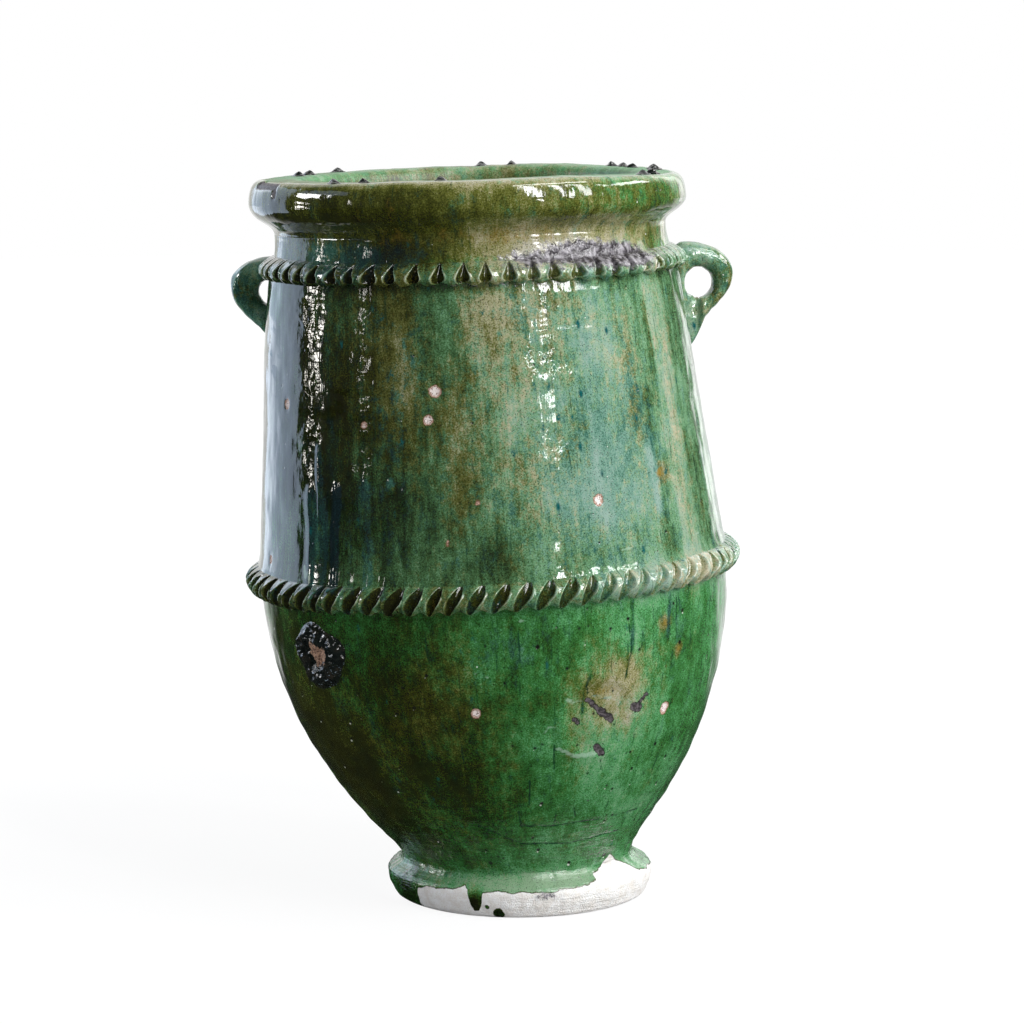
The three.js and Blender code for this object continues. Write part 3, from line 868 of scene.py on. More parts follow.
class Glaze(Shader):
    """Lead glaze over buff clay, from what the pieces carry: thickness, tints, crust, chips and scars."""

    def __init__(self, name):
        super().__init__(bpy.data.materials.new(name))
        self.surface = self.nodes["Principled BSDF"]
        self.streak = self.noise(10, 8, 4.0)
        self.thread = self.noise(3.2, 8, 2.0, 3.1)
        self.patch = self.noise(46, 1.5, 6.0, 5.2)
        self.tint_patch = self.noise(24, 1.6, 5.0, 29.3)
        self.mottle = self.noise(7, 1.3, 5.0, 7.3)
        self.grain = self.noise(1.2, 1.0, 1.0, 9.4)
        self.sand = self.noise(0.9, 1.0, 0.0, 14.1)
        low = self.step(self.level(), RINGED_BELOW, RINGED_FULLY)
        self.ring = self.calc("MULTIPLY", self.noise(18, 0.12, 3.0, 44.3), low)

    def coat(self, thick, colours):
        return self.ramp(thick, *zip(COAT_STOPS, colours))

    def paint(self, share, colour):
        self.colour = self.blend(share, self.colour, colour)

    def body(self, coat, brown_coat, thicker, browner, speckled, streaked):
        """The glaze itself: green, in places browner or bluer, and dark where it is thick."""
        thick = self.add(
            self.field("thick"), thicker, (self.streak, 0.5 * streaked), (self.thread, 0.32 * streaked),
            (self.patch, 0.7), (self.tint_patch, 0.35), (self.mottle, 0.5), (self.grain, 0.65),
            (self.ring, 0.3),
        )
        tint_streak = self.noise(12, 8, 4.0, 11.5)
        tint_thread = self.noise(3.0, 8, 2.0, 12.5)
        tint_mottle = self.noise(6, 1.4, 5.0, 13.6)
        tint_grain = self.noise(1.8, 1.0, 1.0, 41.7)
        speckle = self.add((tint_mottle, speckled), (tint_grain, 0.6 * speckled))
        brown = self.add(
            self.field("brown"), browner, (tint_streak, 0.6 * streaked), (tint_thread, 0.4 * streaked),
            (self.tint_patch, 0.6), speckle,
        )
        teal = self.add(
            self.field("teal"), (tint_streak, -0.6 * streaked), (self.tint_patch, -0.6), (speckle, -1.0),
            (self.thread, 0.4), (self.mottle, 0.6 * speckled),
        )
        self.colour = self.coat(thick, coat)
        self.paint(self.step(brown, 0.06, 0.5), self.coat(thick, brown_coat))
        self.paint(self.step(teal, 0.06, 0.5), self.coat(thick, TEAL_COAT))
        self.paint(self.step(brown, 0.7, 1.3), OCHRE)
        drip = self.step(self.add(self.noise(2.6, 11, 1.0, 51.2), (self.patch, 0.35)), 0.17, 0.27)
        self.paint(self.calc("MULTIPLY", drip, 0.6), DRIP_GREEN)
        dots = self.step(self.dots(15.0, 31.7, 2.0), 0.17, 0.06)
        self.paint(self.calc("MULTIPLY", dots, self.step(teal, -0.05, 0.3)), DOT_TEAL)

    def specks(self, pitted):
        """Dark sand, open pits with a painted highlight glint beside each, and white specks that also
        serve as small painted glints.
        """
        self.paint(self.calc("MULTIPLY", self.step(self.sand, 0.15, 0.24), 0.7), SPECK)
        pits = self.add(self.dots(10.0, spread=0.25), (self.mottle, -0.25), (self.grain, 0.12))
        self.pit = self.step(pits, pitted, 0.4 * pitted)
        self.paint(self.pit, SPECK)
        # Painted highlight: a white glint is painted just beside each pit, and the white specks below are
        # partly painted glints too.
        glints = self.add(self.dots(10.0, 0.1, spread=0.25), (self.mottle, -0.25))
        self.paint(self.step(glints, 0.5 * pitted, 0.3 * pitted), WHITE_SPECK_AND_GLINT)
        self.paint(self.step(self.dots(16.0, 33.1, spread=0.1), 0.06, 0.04), WHITE_SPECK_AND_GLINT)

    def marks(self):
        """Creases, raised ridges painted pale as their highlight, scars, chips, bare clay and kiln crust,
        each with a ragged edge.
        """
        ragged = self.add((self.noise(4, 1.0, 3.0, 17.8), 6.0), (self.grain, 0.8))
        creased = self.step(self.add(self.field("crease"), (ragged, 0.3)), -0.5, 0.3)
        self.paint(self.calc("MULTIPLY", creased, 0.85), DRIP_GREEN)
        # Painted highlight: the raised ridges and the ropes' crest rims are painted pale.
        ridge_highlit = self.step(self.add(self.field("ridge_highlight"), (ragged, 0.5)), -0.5, 0.8)
        self.paint(self.calc("MULTIPLY", ridge_highlit, 0.55), RIDGE_HIGHLIGHT_PALE)
        scar_edge = self.add(self.field("scar"), (ragged, 0.8))
        self.scarred = self.step(scar_edge, -0.1, 0.5)
        scar = self.blend(self.step(self.noise(2.6, 0.6, 2.0, 35.2), -0.1, 0.12), SCAR_DARK, SCAR_PALE)
        self.paint(self.step(scar_edge, -0.9, 0.1), SCAR_DARK)
        self.paint(self.scarred, scar)
        chip_edge = self.add(self.field("chip"), (ragged, 0.6))
        self.chipped = self.step(chip_edge, -0.1, 0.5)
        self.paint(self.step(chip_edge, -0.7, 0.2), CHIP_BROWN)
        grainy = self.add(chip_edge, (self.grain, 3.0))
        chip = self.blend(self.step(grainy, 0.6, 2.2), CHIP_PINK, CHIP_PALE)
        chip = self.blend(self.step(self.sand, 0.1, 0.2), chip, CHIP_BROWN)
        self.paint(self.chipped, chip)
        bare_edge = self.add(self.field("bare"), (ragged, 0.4))
        self.bared = self.step(bare_edge, -0.1, 0.5)
        clay = self.blend(self.step(self.mottle, -0.25, 0.15), CLAY_WARM, CLAY_PALE)
        clay = self.blend(self.step(self.sand, 0.08, 0.24), clay, CLAY_WARM)
        self.paint(self.step(bare_edge, -1.0, 0.0), GLAZE_RIM)
        self.paint(self.bared, clay)
        crust_edge = self.add(self.field("crust"), (self.mottle, 1.2), (self.grain, 0.8))
        self.crusty = self.step(crust_edge, 0.35, 0.7)
        self.lumps = self.noise(5.0, 1.0, 3.0, 15.7)
        self.paint(self.crusty, self.blend(self.step(self.lumps, -0.12, 0.16), CRUST_DARK, CRUST_PALE))
        self.put(self.surface.inputs["Base Color"], self.colour)

    def gloss(self):
        """A wet shine, dull on clay, in chips and inside, over a skin that is uneven where it sparkles."""
        broken = self.calc("MAXIMUM", self.bared, self.chipped)
        dull = self.calc("MAXIMUM", broken, self.calc("MULTIPLY", self.scarred, 0.6))
        shine = self.add(0.05, (self.step(self.mottle, -0.1, 0.3), 0.06), (self.field("matte"), 0.4))
        rough = self.calc("MAXIMUM", shine, self.calc("MULTIPLY", dull, 0.9))
        self.put(self.surface.inputs["Roughness"], rough)
        self.surface.inputs["IOR"].default_value = GLAZE_IOR
        swell = self.add(0.18, (self.field("spark"), 1.0), (self.step(self.patch, 0.0, 0.16), 0.25))
        wave = self.add(self.noise(13.0, 0.85, 1.5, 21.1), (self.noise(3.2, 0.8, 1.0, 23.4), 0.12))
        height = self.add((wave, swell), (self.streak, 0.3), (self.ring, 1.6), (self.pit, -0.5))
        blister = self.calc("MULTIPLY", self.lumps, 2.4)
        height = self.add(height, (broken, self.grain), (self.crusty, blister))
        self.put(self.surface.inputs["Normal"], self.bump(height, GLAZE_BUMP))


def glaze_material(
    name, coat, brown_coat, thicker=0.0, browner=0.0, pitted=0.16, speckled=1.0, streaked=1.0
):
    glaze = Glaze(name)
    glaze.body(coat, brown_coat, thicker, browner, speckled, streaked)
    glaze.specks(pitted)
    glaze.marks()
    glaze.gloss()
    return glaze.owner


def burnt_material(name):
    """Kiln clay burnt dark under a splash of glaze, with a bare broken middle where a piece says so, and
    bluish-white painted highlights where a piece asks for them.
    """
    shader = Shader(bpy.data.materials.new(name))
    surface = shader.nodes["Principled BSDF"]
    mottle = shader.noise(6, 1.0, 1.0)
    grain = shader.noise(1.4, 1.0, 2.0, 3.3)
    dark = shader.ramp(shader.add(0.5, (mottle, 1.2)), *zip(BURNT_STOPS, BURNT_COAT))
    clay = shader.blend(shader.step(grain, -0.16, 0.16), TORN_DARK, TORN_PALE)
    bared = shader.step(shader.add(shader.field("bare"), (mottle, 12.0), (grain, 5.0)), 0.0, 1.2)
    colour = shader.blend(bared, dark, clay)
    # Painted highlight: bluish-white glints, painted where a piece asks for them.
    glint_flecks = shader.add(shader.field("painted_glints"), (shader.noise(2.6, 1.0, 2.0, 6.2), 3.0))
    colour = shader.blend(shader.step(glint_flecks, 0.9, 1.2), colour, PAINTED_GLINT_BLUE)
    shader.put(surface.inputs["Base Color"], colour)
    rough = shader.add(0.04, (bared, 0.7), (shader.step(grain, 0, 0.3), 0.04))
    shader.put(surface.inputs["Roughness"], rough)
    surface.inputs["IOR"].default_value = GLAZE_IOR
    shader.put(surface.inputs["Normal"], shader.bump(shader.add((mottle, 1.0), (grain, 0.06)), BURNT_BUMP))
    return shader.owner


green_glaze = glaze_material("green_glaze", GREEN_COAT, BROWN_COAT)
fresh_glaze = glaze_material("fresh_glaze", FRESH_COAT, GOLD_COAT, pitted=0.27, speckled=0.6, streaked=0.5)
dark_glaze = glaze_material("dark_glaze", GREEN_COAT, BROWN_COAT, thicker=0.01)
olive_glaze = glaze_material("olive_glaze", FRESH_COAT, GOLD_COAT, browner=0.1, speckled=0.7, streaked=0.7)
foot_glaze = glaze_material("foot_clay_and_glaze", FRESH_COAT, GOLD_COAT, speckled=0.6, streaked=0.5)
burnt_clay = burnt_material("burnt_clay")

# The thrown pieces
foot_inside = np.vstack([
    line((WAIST_RADIUS - 2, FOOT_TOP), (STUB_RADIUS, FOOT_TOP), 5),
    line((STUB_RADIUS, FOOT_TOP - 2), (STUB_RADIUS, 0), 6),
    line((STUB_RADIUS + 3, 0), (TREAD_RADIUS - 2, 0), 5),
])
turned_piece("foot_ring_glazed", FOOT_OUTSIDE, foot_inside, foot_glaze)

bowl_inner_edge = (BELLY_RADIUS - WALL_THICKNESS, BELLY_SEAM - 6)
bowl_inside = bezier(
    [
        bowl_inner_edge,
        (bowl_inner_edge[0], mix(bowl_inner_edge[1], FLOOR_THICKNESS, 0.62)),
        (mix(FLOOR_RADIUS, bowl_inner_edge[0], 0.09), mix(FLOOR_THICKNESS, bowl_inner_edge[1], 0.06)),
        (FLOOR_RADIUS, FLOOR_THICKNESS),
    ],
    24,
)
bowl_under = np.vstack([
    line((6, 0), (STUB_RADIUS, 0), 6),
    line((STUB_RADIUS, 3), (STUB_RADIUS, FOOT_TOP), 4),
])
bowl_outside = np.vstack([bowl_under, BOWL_OUTSIDE])
bowl_floor = line((FLOOR_RADIUS - 8, FLOOR_THICKNESS), (6, FLOOR_THICKNESS), 4)
bowl_inside = np.vstack([bowl_inside, bowl_floor])
turned_piece("lower_bowl_glazed", bowl_outside, bowl_inside, fresh_glaze, on_axis=True)

wall_inside = WALL_OUTSIDE[::-6] - (WALL_THICKNESS, 6)
turned_piece("upper_wall_glazed", WALL_OUTSIDE, wall_inside, green_glaze)

collar_depth = np.linspace(COLLAR_THICKNESS, WALL_THICKNESS, len(COLLAR_OUTSIDE[::-2]))
collar_sink = np.linspace(0, 6, len(collar_depth))
collar_inside = COLLAR_OUTSIDE[::-2] - np.stack([collar_depth, collar_sink], -1)
turned_piece("neck_collar_glazed", COLLAR_OUTSIDE, collar_inside, olive_glaze)

collar_bore = NECK_RADIUS - COLLAR_THICKNESS
lip_inside = np.vstack([
    line((165, LIP_TOP), (MOUTH_RADIUS + 12, LIP_TOP), 10),
    bezier([(145, LIP_TOP), (139, LIP_TOP), (MOUTH_RADIUS, 596), (MOUTH_RADIUS, 588)], 9),
    bezier([(MOUTH_RADIUS, 586), (MOUTH_RADIUS, 578), (138, 570), (collar_bore, LIP_SEAT)], 12),
    line((collar_bore + 3, LIP_SEAT), (NECK_RADIUS - 2, LIP_SEAT), 4),
])
turned_piece("rim_lip_glazed", LIP_OUTSIDE, lip_inside, olive_glaze, topmost=True)


def press_edges(presses, unevenness, seed):
    """Turns at which each finger press begins, all the way round from the back."""
    widths = 1 + unevenness * np.random.default_rng(seed).uniform(-1, 1, presses)
    edges = np.concatenate([[0], np.cumsum(widths)])
    return 2 * math.pi * edges / edges[-1] - math.pi


def rope_piece(name, middle, height, depth, presses, hollow, seed):
    """A rope band on the skin: a coil of clay with a finger-pressed hollow in each of its presses."""
    steps, across = 28, 34
    phase = np.arange(presses * steps)[None, :] / steps
    press = phase.astype(int)
    turn = np.interp(phase, np.arange(presses + 1), press_edges(presses, 0.16, seed))
    share = np.linspace(-1, 1, across)[:, None]
    vary = np.random.default_rng(seed + 1).uniform(-1, 1, (4, presses))
    deep, proud, sag, rim = hollow(phase - press - 0.5, share, vary[:, press])
    upper = np.clip(1 - np.abs(share) ** 2.0, 0, 1) ** 0.9
    lower = np.clip(1 - np.abs(share) ** 2.6, 0, 1) ** 0.5
    section = np.where(share > 0, upper, lower)
    out = section * depth * (1 - 0.72 * deep) + proud * section
    wander = 1.2 * cloud(turn, middle + 0 * turn, 60, seed + 2)
    level = middle + share * height / 2 - sag * smooth(share, 0.1, -1.0) + wander
    crust = smooth(zones(CRUST_ZONES, turn + 0 * level, level), 0.3, 0.8)
    rough = (0.3 + 0.8 * crust) * cloud(turn + 0 * level, level, 5, seed + 3)
    ground = skin_radius(level) + hand_relief(turn + 0 * level, level) + 0.25
    radius = ground + out + rough - 1.2 * (1 - smooth(section, 0.0, 0.35))
    back_share = np.linspace(0.8, -0.8, 5)[:, None]
    back_level = middle + back_share * height / 2 + wander
    back_radius = skin_radius(back_level) - 3 + 0 * turn
    radius = np.vstack([radius, back_radius])
    level = np.vstack([level, back_level + 0 * turn])
    turn = turn + 0 * level
    deep = np.vstack([deep, np.zeros(back_radius.shape)])
    rim = np.vstack([rim, np.zeros(back_radius.shape)])
    points = leaned(on_ring(turn, radius, level))
    values = fields(turn, level, level, radius)
    for mark in MARKS:
        values[mark] = np.full(turn.shape, UNMARKED)
    # Painted shade and highlight: the hollows are painted darker and browner, more so on the side away
    # from the key lamps, and the crest rims are painted paler as their highlight.
    unlit = smooth(np.cos(turn - math.radians(50)), 0.9, 0.4)
    shaded = mix(0.3, 0.36, unlit) * smooth(deep, 0.06, 0.4)
    values["thick"] = values["thick"] - 0.04 + shaded - 0.34 * rim
    values["brown"] = values["brown"] + 0.12 + mix(0.16, 0.4, unlit) * deep + mix(0.0, 0.2, unlit) * rim
    values["ridge_highlight"] = 2.4 * rim - 1.6
    values["spark"] = np.full(turn.shape, 1.4)
    return make_piece(name, points, values, dark_glaze, closed_rows=True)


def leaf_hollow(within, share, vary):
    """A slanting leaf with its steep side and a sharp standing edge on the right."""
    centre = 0.38 * share + 0.05 * vary[0]
    half = (0.35 + 0.05 * vary[1]) * np.clip(1 - (share / 0.95) ** 2, 0, 1) ** 0.65 + 1e-3
    place = (within - centre) / half
    bowl = np.clip(1 - place**2, 0, 1) ** 0.6 * (0.8 + 0.32 * place)
    inside = np.clip(1 - share**2, 0, 1)
    rim = np.exp(-(((np.abs(place) - 1.06) / 0.14) ** 2)) * inside * np.where(place > 0, 1.0, 0.45)
    sag = 1.4 * np.cos(2 * math.pi * (within + 0.3))
    return bowl * (1 + 0.2 * vary[2]), 1.3 * rim, sag, rim


def drop_hollow(within, share, vary):
    """An upright drop, pointed above and round below."""
    foot = np.clip(1 - ((share + 0.3) / 0.62) ** 2, 0, 1) ** 0.5
    point = np.clip((0.98 - share) / 1.28, 0, 1) ** 0.9
    half = (0.31 + 0.05 * vary[1]) * np.where(share < -0.3, foot, point) + 1e-3
    place = (within - 0.05 * share - 0.06 * vary[0]) / half
    bowl = np.clip(1 - place**2, 0, 1) ** 0.75
    rim = np.exp(-(((np.abs(place) - 1.08) / 0.18) ** 2)) * np.clip(1 - share**2, 0, 1)
    sag = -1.5 * np.cos(2 * math.pi * within)
    return bowl * (1 + 0.2 * vary[2]), 0.8 * rim, sag, rim


rope_piece("belly_rope_band_glazed", BELLY_SEAM, 23.0, 10.5, 72, leaf_hollow, 31)
rope_piece("neck_rope_band_glazed", NECK_SEAM, 18.0, 8.5, 58, drop_hollow, 41)

# The loop handles: the finger hole's place, out from the wall and up, its radius, and how far the ear
# reaches round it, as pairs of an angle from straight out and a distance
HANDLE_TURN = 13.0
HANDLE_LEVEL = 501.0
HANDLE_DEPTH = 24.0
RIGHT_HOLE = (19.3, 501.2, 12.6)
RIGHT_REACH = [
    (-150, 22), (-128, 34), (-112, 54), (-104, 60), (-98, 52), (-92, 40), (-86, 31), (-69, 25.5),
    (-43, 23.5), (-19, 25.5), (0, 28.8), (12, 31), (24, 32.3), (58, 32.3), (78, 32), (94, 33.6),
    (111, 37), (130, 34), (150, 24), (180, 20),
]
LEFT_HOLE = (4.0, 505.3, 10.0)
LEFT_REACH = [
    (-150, 20), (-120, 32), (-104, 54), (-95, 54), (-89, 44), (-83, 36), (-70, 30.5), (-53, 28.6),
    (-31, 29.3), (-14, 32.2), (0, 33.2), (15, 34.8), (24, 35.2), (35, 33.8), (50, 31.6), (65, 30),
    (84, 30.2), (105, 30), (130, 24), (180, 18),
]


def handle_piece(name, azimuth, hole, reach, material, thick, teal, seed):
    """A pulled loop of clay, thumbed on to the rope above, with a tail that runs out on the wall below."""
    rows, sides = 216, 40
    hole_out, hole_level, hole_radius = hole
    angle = np.linspace(-math.pi, math.pi, rows, endpoint=False)
    places, lengths = np.array(reach, float).T
    outer = np.interp(angle, np.radians(places), lengths, period=2 * math.pi)
    window = np.hanning(9) / np.hanning(9).sum()
    outer = np.convolve(np.concatenate([outer[-4:], outer, outer[:4]]), window, "valid")
    section = np.linspace(0, 2 * math.pi, sides, endpoint=False)
    middle = (outer + hole_radius) / 2
    half = (outer - hole_radius) / 2
    tail = smooth(outer, 33, 50)
    depth = HANDLE_DEPTH / 2 * (1 - 0.45 * tail) * (1 + 0.1 * np.sin(angle))
    bulge = np.sign(np.cos(section)) * np.abs(np.cos(section)) ** 0.85
    spot = np.stack(np.broadcast_arrays(
        middle[:, None] * np.cos(angle)[:, None] + half[:, None] * bulge,
        middle[:, None] * np.sin(angle)[:, None] + 0 * section,
        12 * np.sin(section) + seed,
    ), -1)
    rough = noise(spot, 12.0, seed) + 0.5 * noise(spot, 6.0, seed + 1)
    swell = 1 + 0.07 * rough
    distance_out = middle[:, None] + half[:, None] * bulge * swell
    out = skin_radius(HANDLE_LEVEL) + hole_out + distance_out * np.cos(angle)[:, None]
    level = hole_level + distance_out * np.sin(angle)[:, None]
    side = depth[:, None] * np.sin(section) * swell
    turn = math.radians(azimuth)
    outward = np.array([math.sin(turn), -math.cos(turn)])
    sideways = np.array([math.cos(turn), math.sin(turn)])
    flat = out[..., None] * outward - side[..., None] * sideways
    points = leaned(np.concatenate([flat, level[..., None]], -1))
    place = np.concatenate([flat, level[..., None]], -1) * MM
    values = {
        "flow": place,
        "place": place,
        "thick": thick + 0.16 * rough,
        "brown": 0.1 + 0.3 * np.maximum(rough, 0),
        "teal": np.full(out.shape, teal),
        "spark": np.full(out.shape, 1.5),
    }
    for mark in MARKS:
        values[mark] = np.full(out.shape, UNMARKED)
    return make_piece(name, points, values, material, closed_rows=True)


right, left = 90 + HANDLE_TURN, -90 - HANDLE_TURN
handle_piece(
    "handle_right_glazed", right, RIGHT_HOLE, RIGHT_REACH, green_glaze, 0.24, 0.15, 51
)
handle_piece("handle_left_glazed", left, LEFT_HOLE, LEFT_REACH, dark_glaze, 0.42, 0.3, 53)

# The stubs of the kiln spurs
SPUR_ANGLES = [11, 19, 26, 33, 42, 76, 86, 133, 149, 157, 231, 240, 263, 330, 339]
SPUR_RADIUS = 4.5
SPUR_HEIGHT = 3.8
SPUR_INNERMOST = MOUTH_RADIUS + 12 + SPUR_RADIUS
SPUR_OUTERMOST = LIP_RADIUS - 11 - SPUR_RADIUS
SPUR_OUTLINE = np.array([
    (1.4, -0.3), (1.3, 0.02), (1.0, 0.14), (0.78, 0.34), (0.56, 0.62), (0.32, 0.82), (0.1, 0.88),
])


def spur_piece(index, degrees):
    """A small broken tip on the lip's flat top, glazed over."""
    radius = mix(SPUR_INNERMOST, SPUR_OUTERMOST, (1 + math.sin(2 * index)) / 2)
    place = math.radians(degrees)
    turn = np.linspace(0, 2 * math.pi, 24, endpoint=False)[None, :]
    uneven = 1 + 0.16 * np.sin(2 * turn + index) + 0.1 * np.sin(3 * turn + 2 * index)
    spread = SPUR_OUTLINE[:, 0][:, None] * SPUR_RADIUS * uneven
    rise = SPUR_OUTLINE[:, 1][:, None] * SPUR_HEIGHT * (1 + 0.12 * np.sin(turn + index))
    points = np.stack([
        radius * math.cos(place) + spread * np.cos(turn),
        radius * math.sin(place) + spread * np.sin(turn),
        LIP_TOP + rise,
    ], -1)
    values = {"place": points * MM, "bare": np.full(spread.shape, UNMARKED)}
    name = f"rim_spur_{index + 1:02d}"
    shape = leaned(points)
    make_piece(f"{name}_burnt", shape, values, burnt_clay, closed_rows=False, node=name)


for index, degrees in enumerate(SPUR_ANGLES):
    spur_piece(index, degrees)

# The kiln wad stuck to the bowl
WAD_AZIMUTH = -47.5
WAD_HEIGHT = 229.0
WAD_WIDTH = 52.0
WAD_TALL = 56.0
WAD_DEPTH = 7.0


def wad_piece():
    """A torn lump of wadding: a rough mound, glazed over, with its middle broken out."""
    angle = np.linspace(0, 2 * math.pi, 96, endpoint=False)[None, :]
    ring = np.linspace(1.0, 0.02, 34)[:, None]
    uneven = 1 + 0.1 * (np.sin(3 * angle + 1) + np.sin(5 * angle) / 2)
    across = WAD_WIDTH / 2 * ring * uneven * np.cos(angle)
    up = WAD_TALL / 2 * ring * uneven * np.sin(angle)
    level = WAD_HEIGHT + up
    turn = math.radians(WAD_AZIMUTH) + across / skin_radius(level)
    spot = np.stack([across, up, 0 * across], -1)
    rough = noise(spot, 9.0, 61) + 0.7 * noise(spot, 4.5, 62)
    mound = smooth(ring, 1.0, 0.72) * WAD_DEPTH - 3.2 * smooth(ring, 0.5, 0.25)
    lift = mound + rough * 1.5 * smooth(ring, 1.0, 0.8)
    ground = skin_radius(level) + hand_relief(turn, level)
    radius = np.vstack([ground[:1] - 3, ground + lift])
    turn, level = np.vstack([turn[:1], turn]), np.vstack([level[:1], level])
    points = leaned(on_ring(turn, radius, level))
    place = on_ring(turn, radius, level) * MM
    bare = np.broadcast_to(9 - 26 * ring + 4 * np.cos(angle - 0.6), across.shape)
    # Painted highlight: where the bluish-white glints are painted, on the wad's lower right towards its
    # edge.
    painted_glints = smooth(ring * np.cos(angle + 0.9), 0.1, 0.8) * 0.7 - 0.1
    values = {"place": place, "bare": np.vstack([bare[:1], bare]), "painted_glints": np.vstack([painted_glints[:1], painted_glints])}
    name = "kiln_wad"
    make_piece(f"{name}_burnt", points, values, burnt_clay, closed_rows=False, node=name)


wad_piece()


# The photograph's camera
CAMERA_PLACE = Vector((-0.005, -2.935, 0.709))
CAMERA_PITCH = math.radians(7.56)
CAMERA_ROLL = math.radians(-0.518)
CAMERA_LENS = 125.59
CAMERA_SENSOR = 36.0


def add_camera():
    forward = Vector((0, math.cos(CAMERA_PITCH), -math.sin(CAMERA_PITCH)))
    right = Vector((1, 0, 0))
    up = right.cross(forward)
    rolled_right = math.cos(CAMERA_ROLL) * right + math.sin(CAMERA_ROLL) * up
    rolled_up = math.cos(CAMERA_ROLL) * up - math.sin(CAMERA_ROLL) * right
    camera = bpy.data.objects.new("camera", bpy.data.cameras.new("camera"))
    camera.data.lens = CAMERA_LENS
    camera.data.sensor_width = CAMERA_SENSOR
    turned = Matrix((rolled_right, rolled_up, -forward)).transposed().to_4x4()
    camera.matrix_world = Matrix.Translation(CAMERA_PLACE) @ turned
    bpy.context.scene.collection.objects.link(camera)
    bpy.context.scene.camera = camera


# What the lamps face, and their watts per square metre at a brightness of 1
LIGHT_TARGET = Vector((-0.02, 0, 0.33))
LAMP_POWER = 4.0


def add_panel(name, azimuth, elevation, distance, width, height, radiance, colour):
    """A rectangular lamp that faces the jar, given by its direction, size and brightness."""
    turn, rise = math.radians(azimuth), math.radians(elevation)
    level = math.cos(rise)
    toward = Vector((math.sin(turn) * level, -math.cos(turn) * level, math.sin(rise)))
    lamp = bpy.data.lights.new(name, "AREA")
    lamp.shape = "RECTANGLE"
    lamp.size = width
    lamp.size_y = height
    lamp.color = colour
    lamp.energy = LAMP_POWER * width * height * radiance
    panel = bpy.data.objects.new(name, lamp)
    panel.location = LIGHT_TARGET + distance * toward
    panel.rotation_euler = toward.to_track_quat("Z", "Y").to_euler()
    panel.visible_camera = False
    bpy.context.scene.collection.objects.link(panel)


COOL = (0.64, 0.78, 1.0)
NEUTRAL = (1.0, 1.0, 1.0)
WARM = (1.0, 0.96, 0.9)

# The lamps: name, azimuth, elevation, distance, width, height, brightness and colour. The keys stand on
# the right, and the small ones make the glints of single windows.
PANELS = [
    ("key_near", 34, 32, 3.0, 0.3, 1.72, 18.5, NEUTRAL),
    ("key_middle", 50, 32, 3.0, 0.3, 1.72, 14.5, NEUTRAL),
    ("key_far", 68, 32, 3.0, 0.48, 1.72, 10.0, NEUTRAL),
    ("key_top", 62, 58, 3.0, 2.2, 0.35, 8.0, NEUTRAL),
    ("pane_right", 33.5, 10, 3.0, 0.18, 0.12, 16.0, NEUTRAL),
    ("key_side", 106, 36, 3.0, 1.7, 0.36, 8.0, NEUTRAL),
    ("sky_left", -84, 30, 3.0, 1.5, 0.7, 0.9, COOL),
    ("window_left_high", -91, 21, 3.0, 0.8, 0.4, 16.0, NEUTRAL),
    ("window_left_middle", -94, 9.5, 3.0, 0.22, 0.12, 16.0, WARM),
    ("window_left_low", -94, 4, 3.0, 0.22, 0.14, 16.0, WARM),
    ("window_left_foot", -95, -0.5, 3.0, 0.16, 0.06, 16.0, WARM),
    ("window_left_slit", -61, 9, 3.0, 0.06, 0.36, 14.0, WARM),
    ("wall_left", -126.5, 12, 1.5, 1.17, 1.36, 1.45, COOL),
    ("wall_right", 152, 6, 3.2, 0.6, 3.2, 0.9, NEUTRAL),
]

# The way to the white side of the studio, where white begins and is full along it, and the dim rest
BEHIND = (0, 1, 0.55)
WHITE_FROM = 0.75
WHITE_FULL = 0.98
DIM = 0.05


def add_world():
    """A studio that is white behind the jar and dim in front of it, seen as white by the camera."""
    world = bpy.data.worlds.new("studio")
    bpy.context.scene.world = world
    shader = Shader(world)
    place = shader.nodes.new("ShaderNodeTexCoord").outputs["Generated"]
    fade = shader.step(shader.vector("DOT_PRODUCT", place, BEHIND), WHITE_FROM, WHITE_FULL, DIM, 1.0)
    rays = shader.nodes.new("ShaderNodeLightPath").outputs
    background = shader.nodes["Background"]
    shader.put(background.inputs["Strength"], shader.calc("MAXIMUM", fade, rays["Is Camera Ray"]))
    background.inputs["Color"].default_value = rgb(1.0, 1.0, 1.0)


# The floor's reach and the stretch over which it turns white, in metres, and its colour to plain light,
# to the camera and in the glaze
FLOOR_REACH = 9.0
FLOOR_NEAR = 0.5
FLOOR_FAR = 2.4
FLOOR_ALBEDO = 0.56
FLOOR_SEEN = 0.1
FLOOR_MIRRORED = 0.02
FLOOR_WHITES = (0.9, 1.0)

# How far off and how nearly behind the jar the floor turns white in the glaze
WHITE_REACH = (0.65, 1.15)
WHITE_SIDE = (0.62, 0.86)


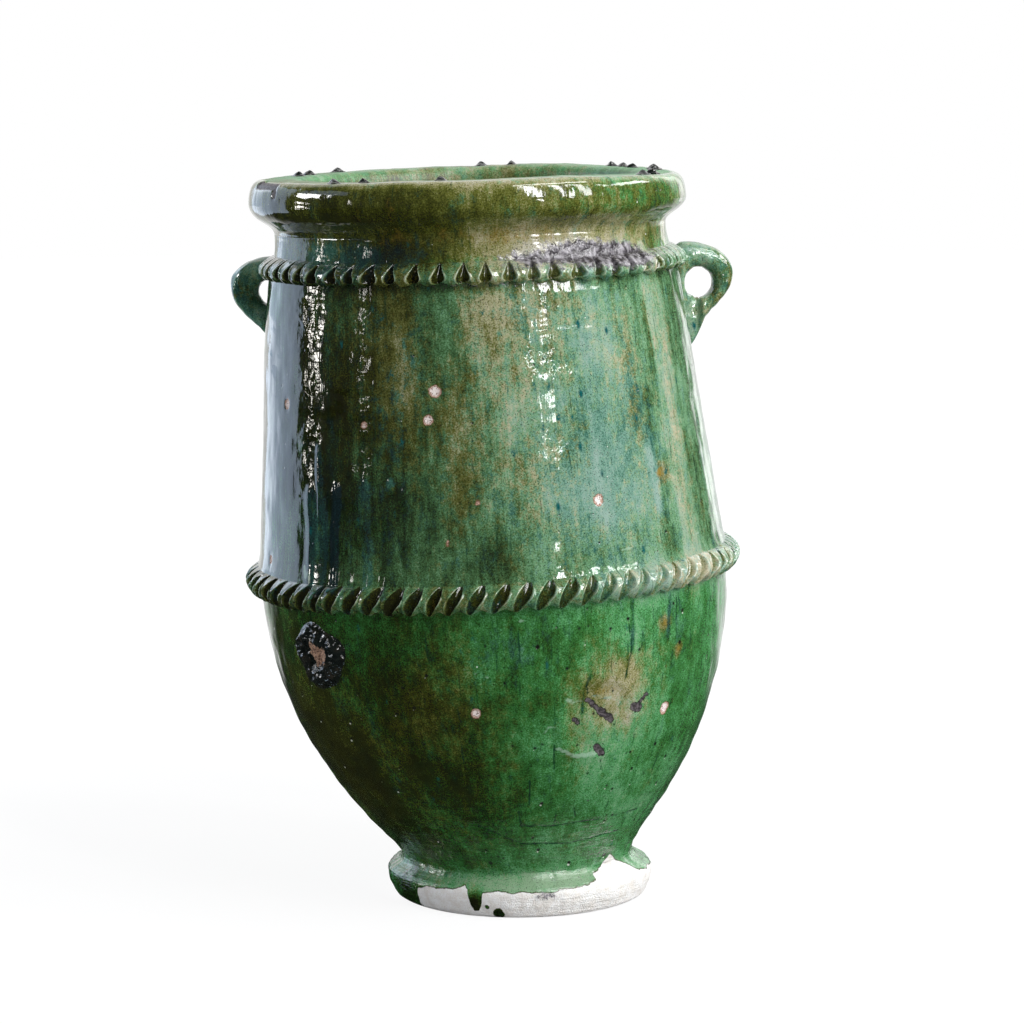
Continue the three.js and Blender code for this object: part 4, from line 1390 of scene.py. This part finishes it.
def floor_material():
    """A pale matt floor that the camera sees as white, and the glaze sees as white far behind the jar."""
    shader = Shader(bpy.data.materials.new("floor"))
    matt = shader.nodes["Principled BSDF"]
    matt.inputs["Roughness"].default_value = 0.9
    matt.inputs["Specular IOR Level"].default_value = 0.0
    place = shader.nodes.new("ShaderNodeNewGeometry").outputs["Position"]
    rays = shader.nodes.new("ShaderNodeLightPath").outputs
    reach = shader.vector("LENGTH", place)
    behind = shader.vector("DOT_PRODUCT", shader.vector("NORMALIZE", place), (0, 1, 0))
    albedo = shader.calc("MULTIPLY_ADD", rays["Is Camera Ray"], FLOOR_SEEN - FLOOR_ALBEDO, FLOOR_ALBEDO)
    albedo = shader.calc("MULTIPLY_ADD", rays["Is Glossy Ray"], FLOOR_MIRRORED - FLOOR_ALBEDO, albedo)
    shader.put(matt.inputs["Base Color"], albedo)
    distant = shader.calc("MULTIPLY", shader.step(reach, *WHITE_REACH), shader.step(behind, *WHITE_SIDE))
    mirrored = shader.calc("MULTIPLY", rays["Is Glossy Ray"], distant)
    seen = shader.calc("MAXIMUM", rays["Is Camera Ray"], mirrored)
    white = shader.step(reach, FLOOR_NEAR, FLOOR_FAR, *FLOOR_WHITES, "LINEAR")
    glow = shader.nodes.new("ShaderNodeEmission")
    shader.put(glow.inputs["Strength"], shader.calc("MULTIPLY", white, seen))
    both = shader.nodes.new("ShaderNodeAddShader")
    shader.put(both.inputs[0], matt.outputs[0])
    shader.put(both.inputs[1], glow.outputs[0])
    shader.put(shader.nodes["Material Output"].inputs["Surface"], both.outputs[0])
    return shader.owner


def add_floor():
    """A round floor with the jar's soft shadow on it."""
    turns = np.linspace(0, 2 * math.pi, 96, endpoint=False)
    ring = [(FLOOR_REACH * math.cos(turn), FLOOR_REACH * math.sin(turn), 0.0) for turn in turns]
    mesh = bpy.data.meshes.new("floor")
    mesh.from_pydata(ring, [], [list(range(len(ring)))])
    mesh.materials.append(floor_material())
    floor = bpy.data.objects.new("floor", mesh)
    bpy.context.scene.collection.objects.link(floor)


add_camera()
for panel in PANELS:
    add_panel(*panel)
add_world()
add_floor()
bpy.context.scene.view_settings.view_transform = "Standard"
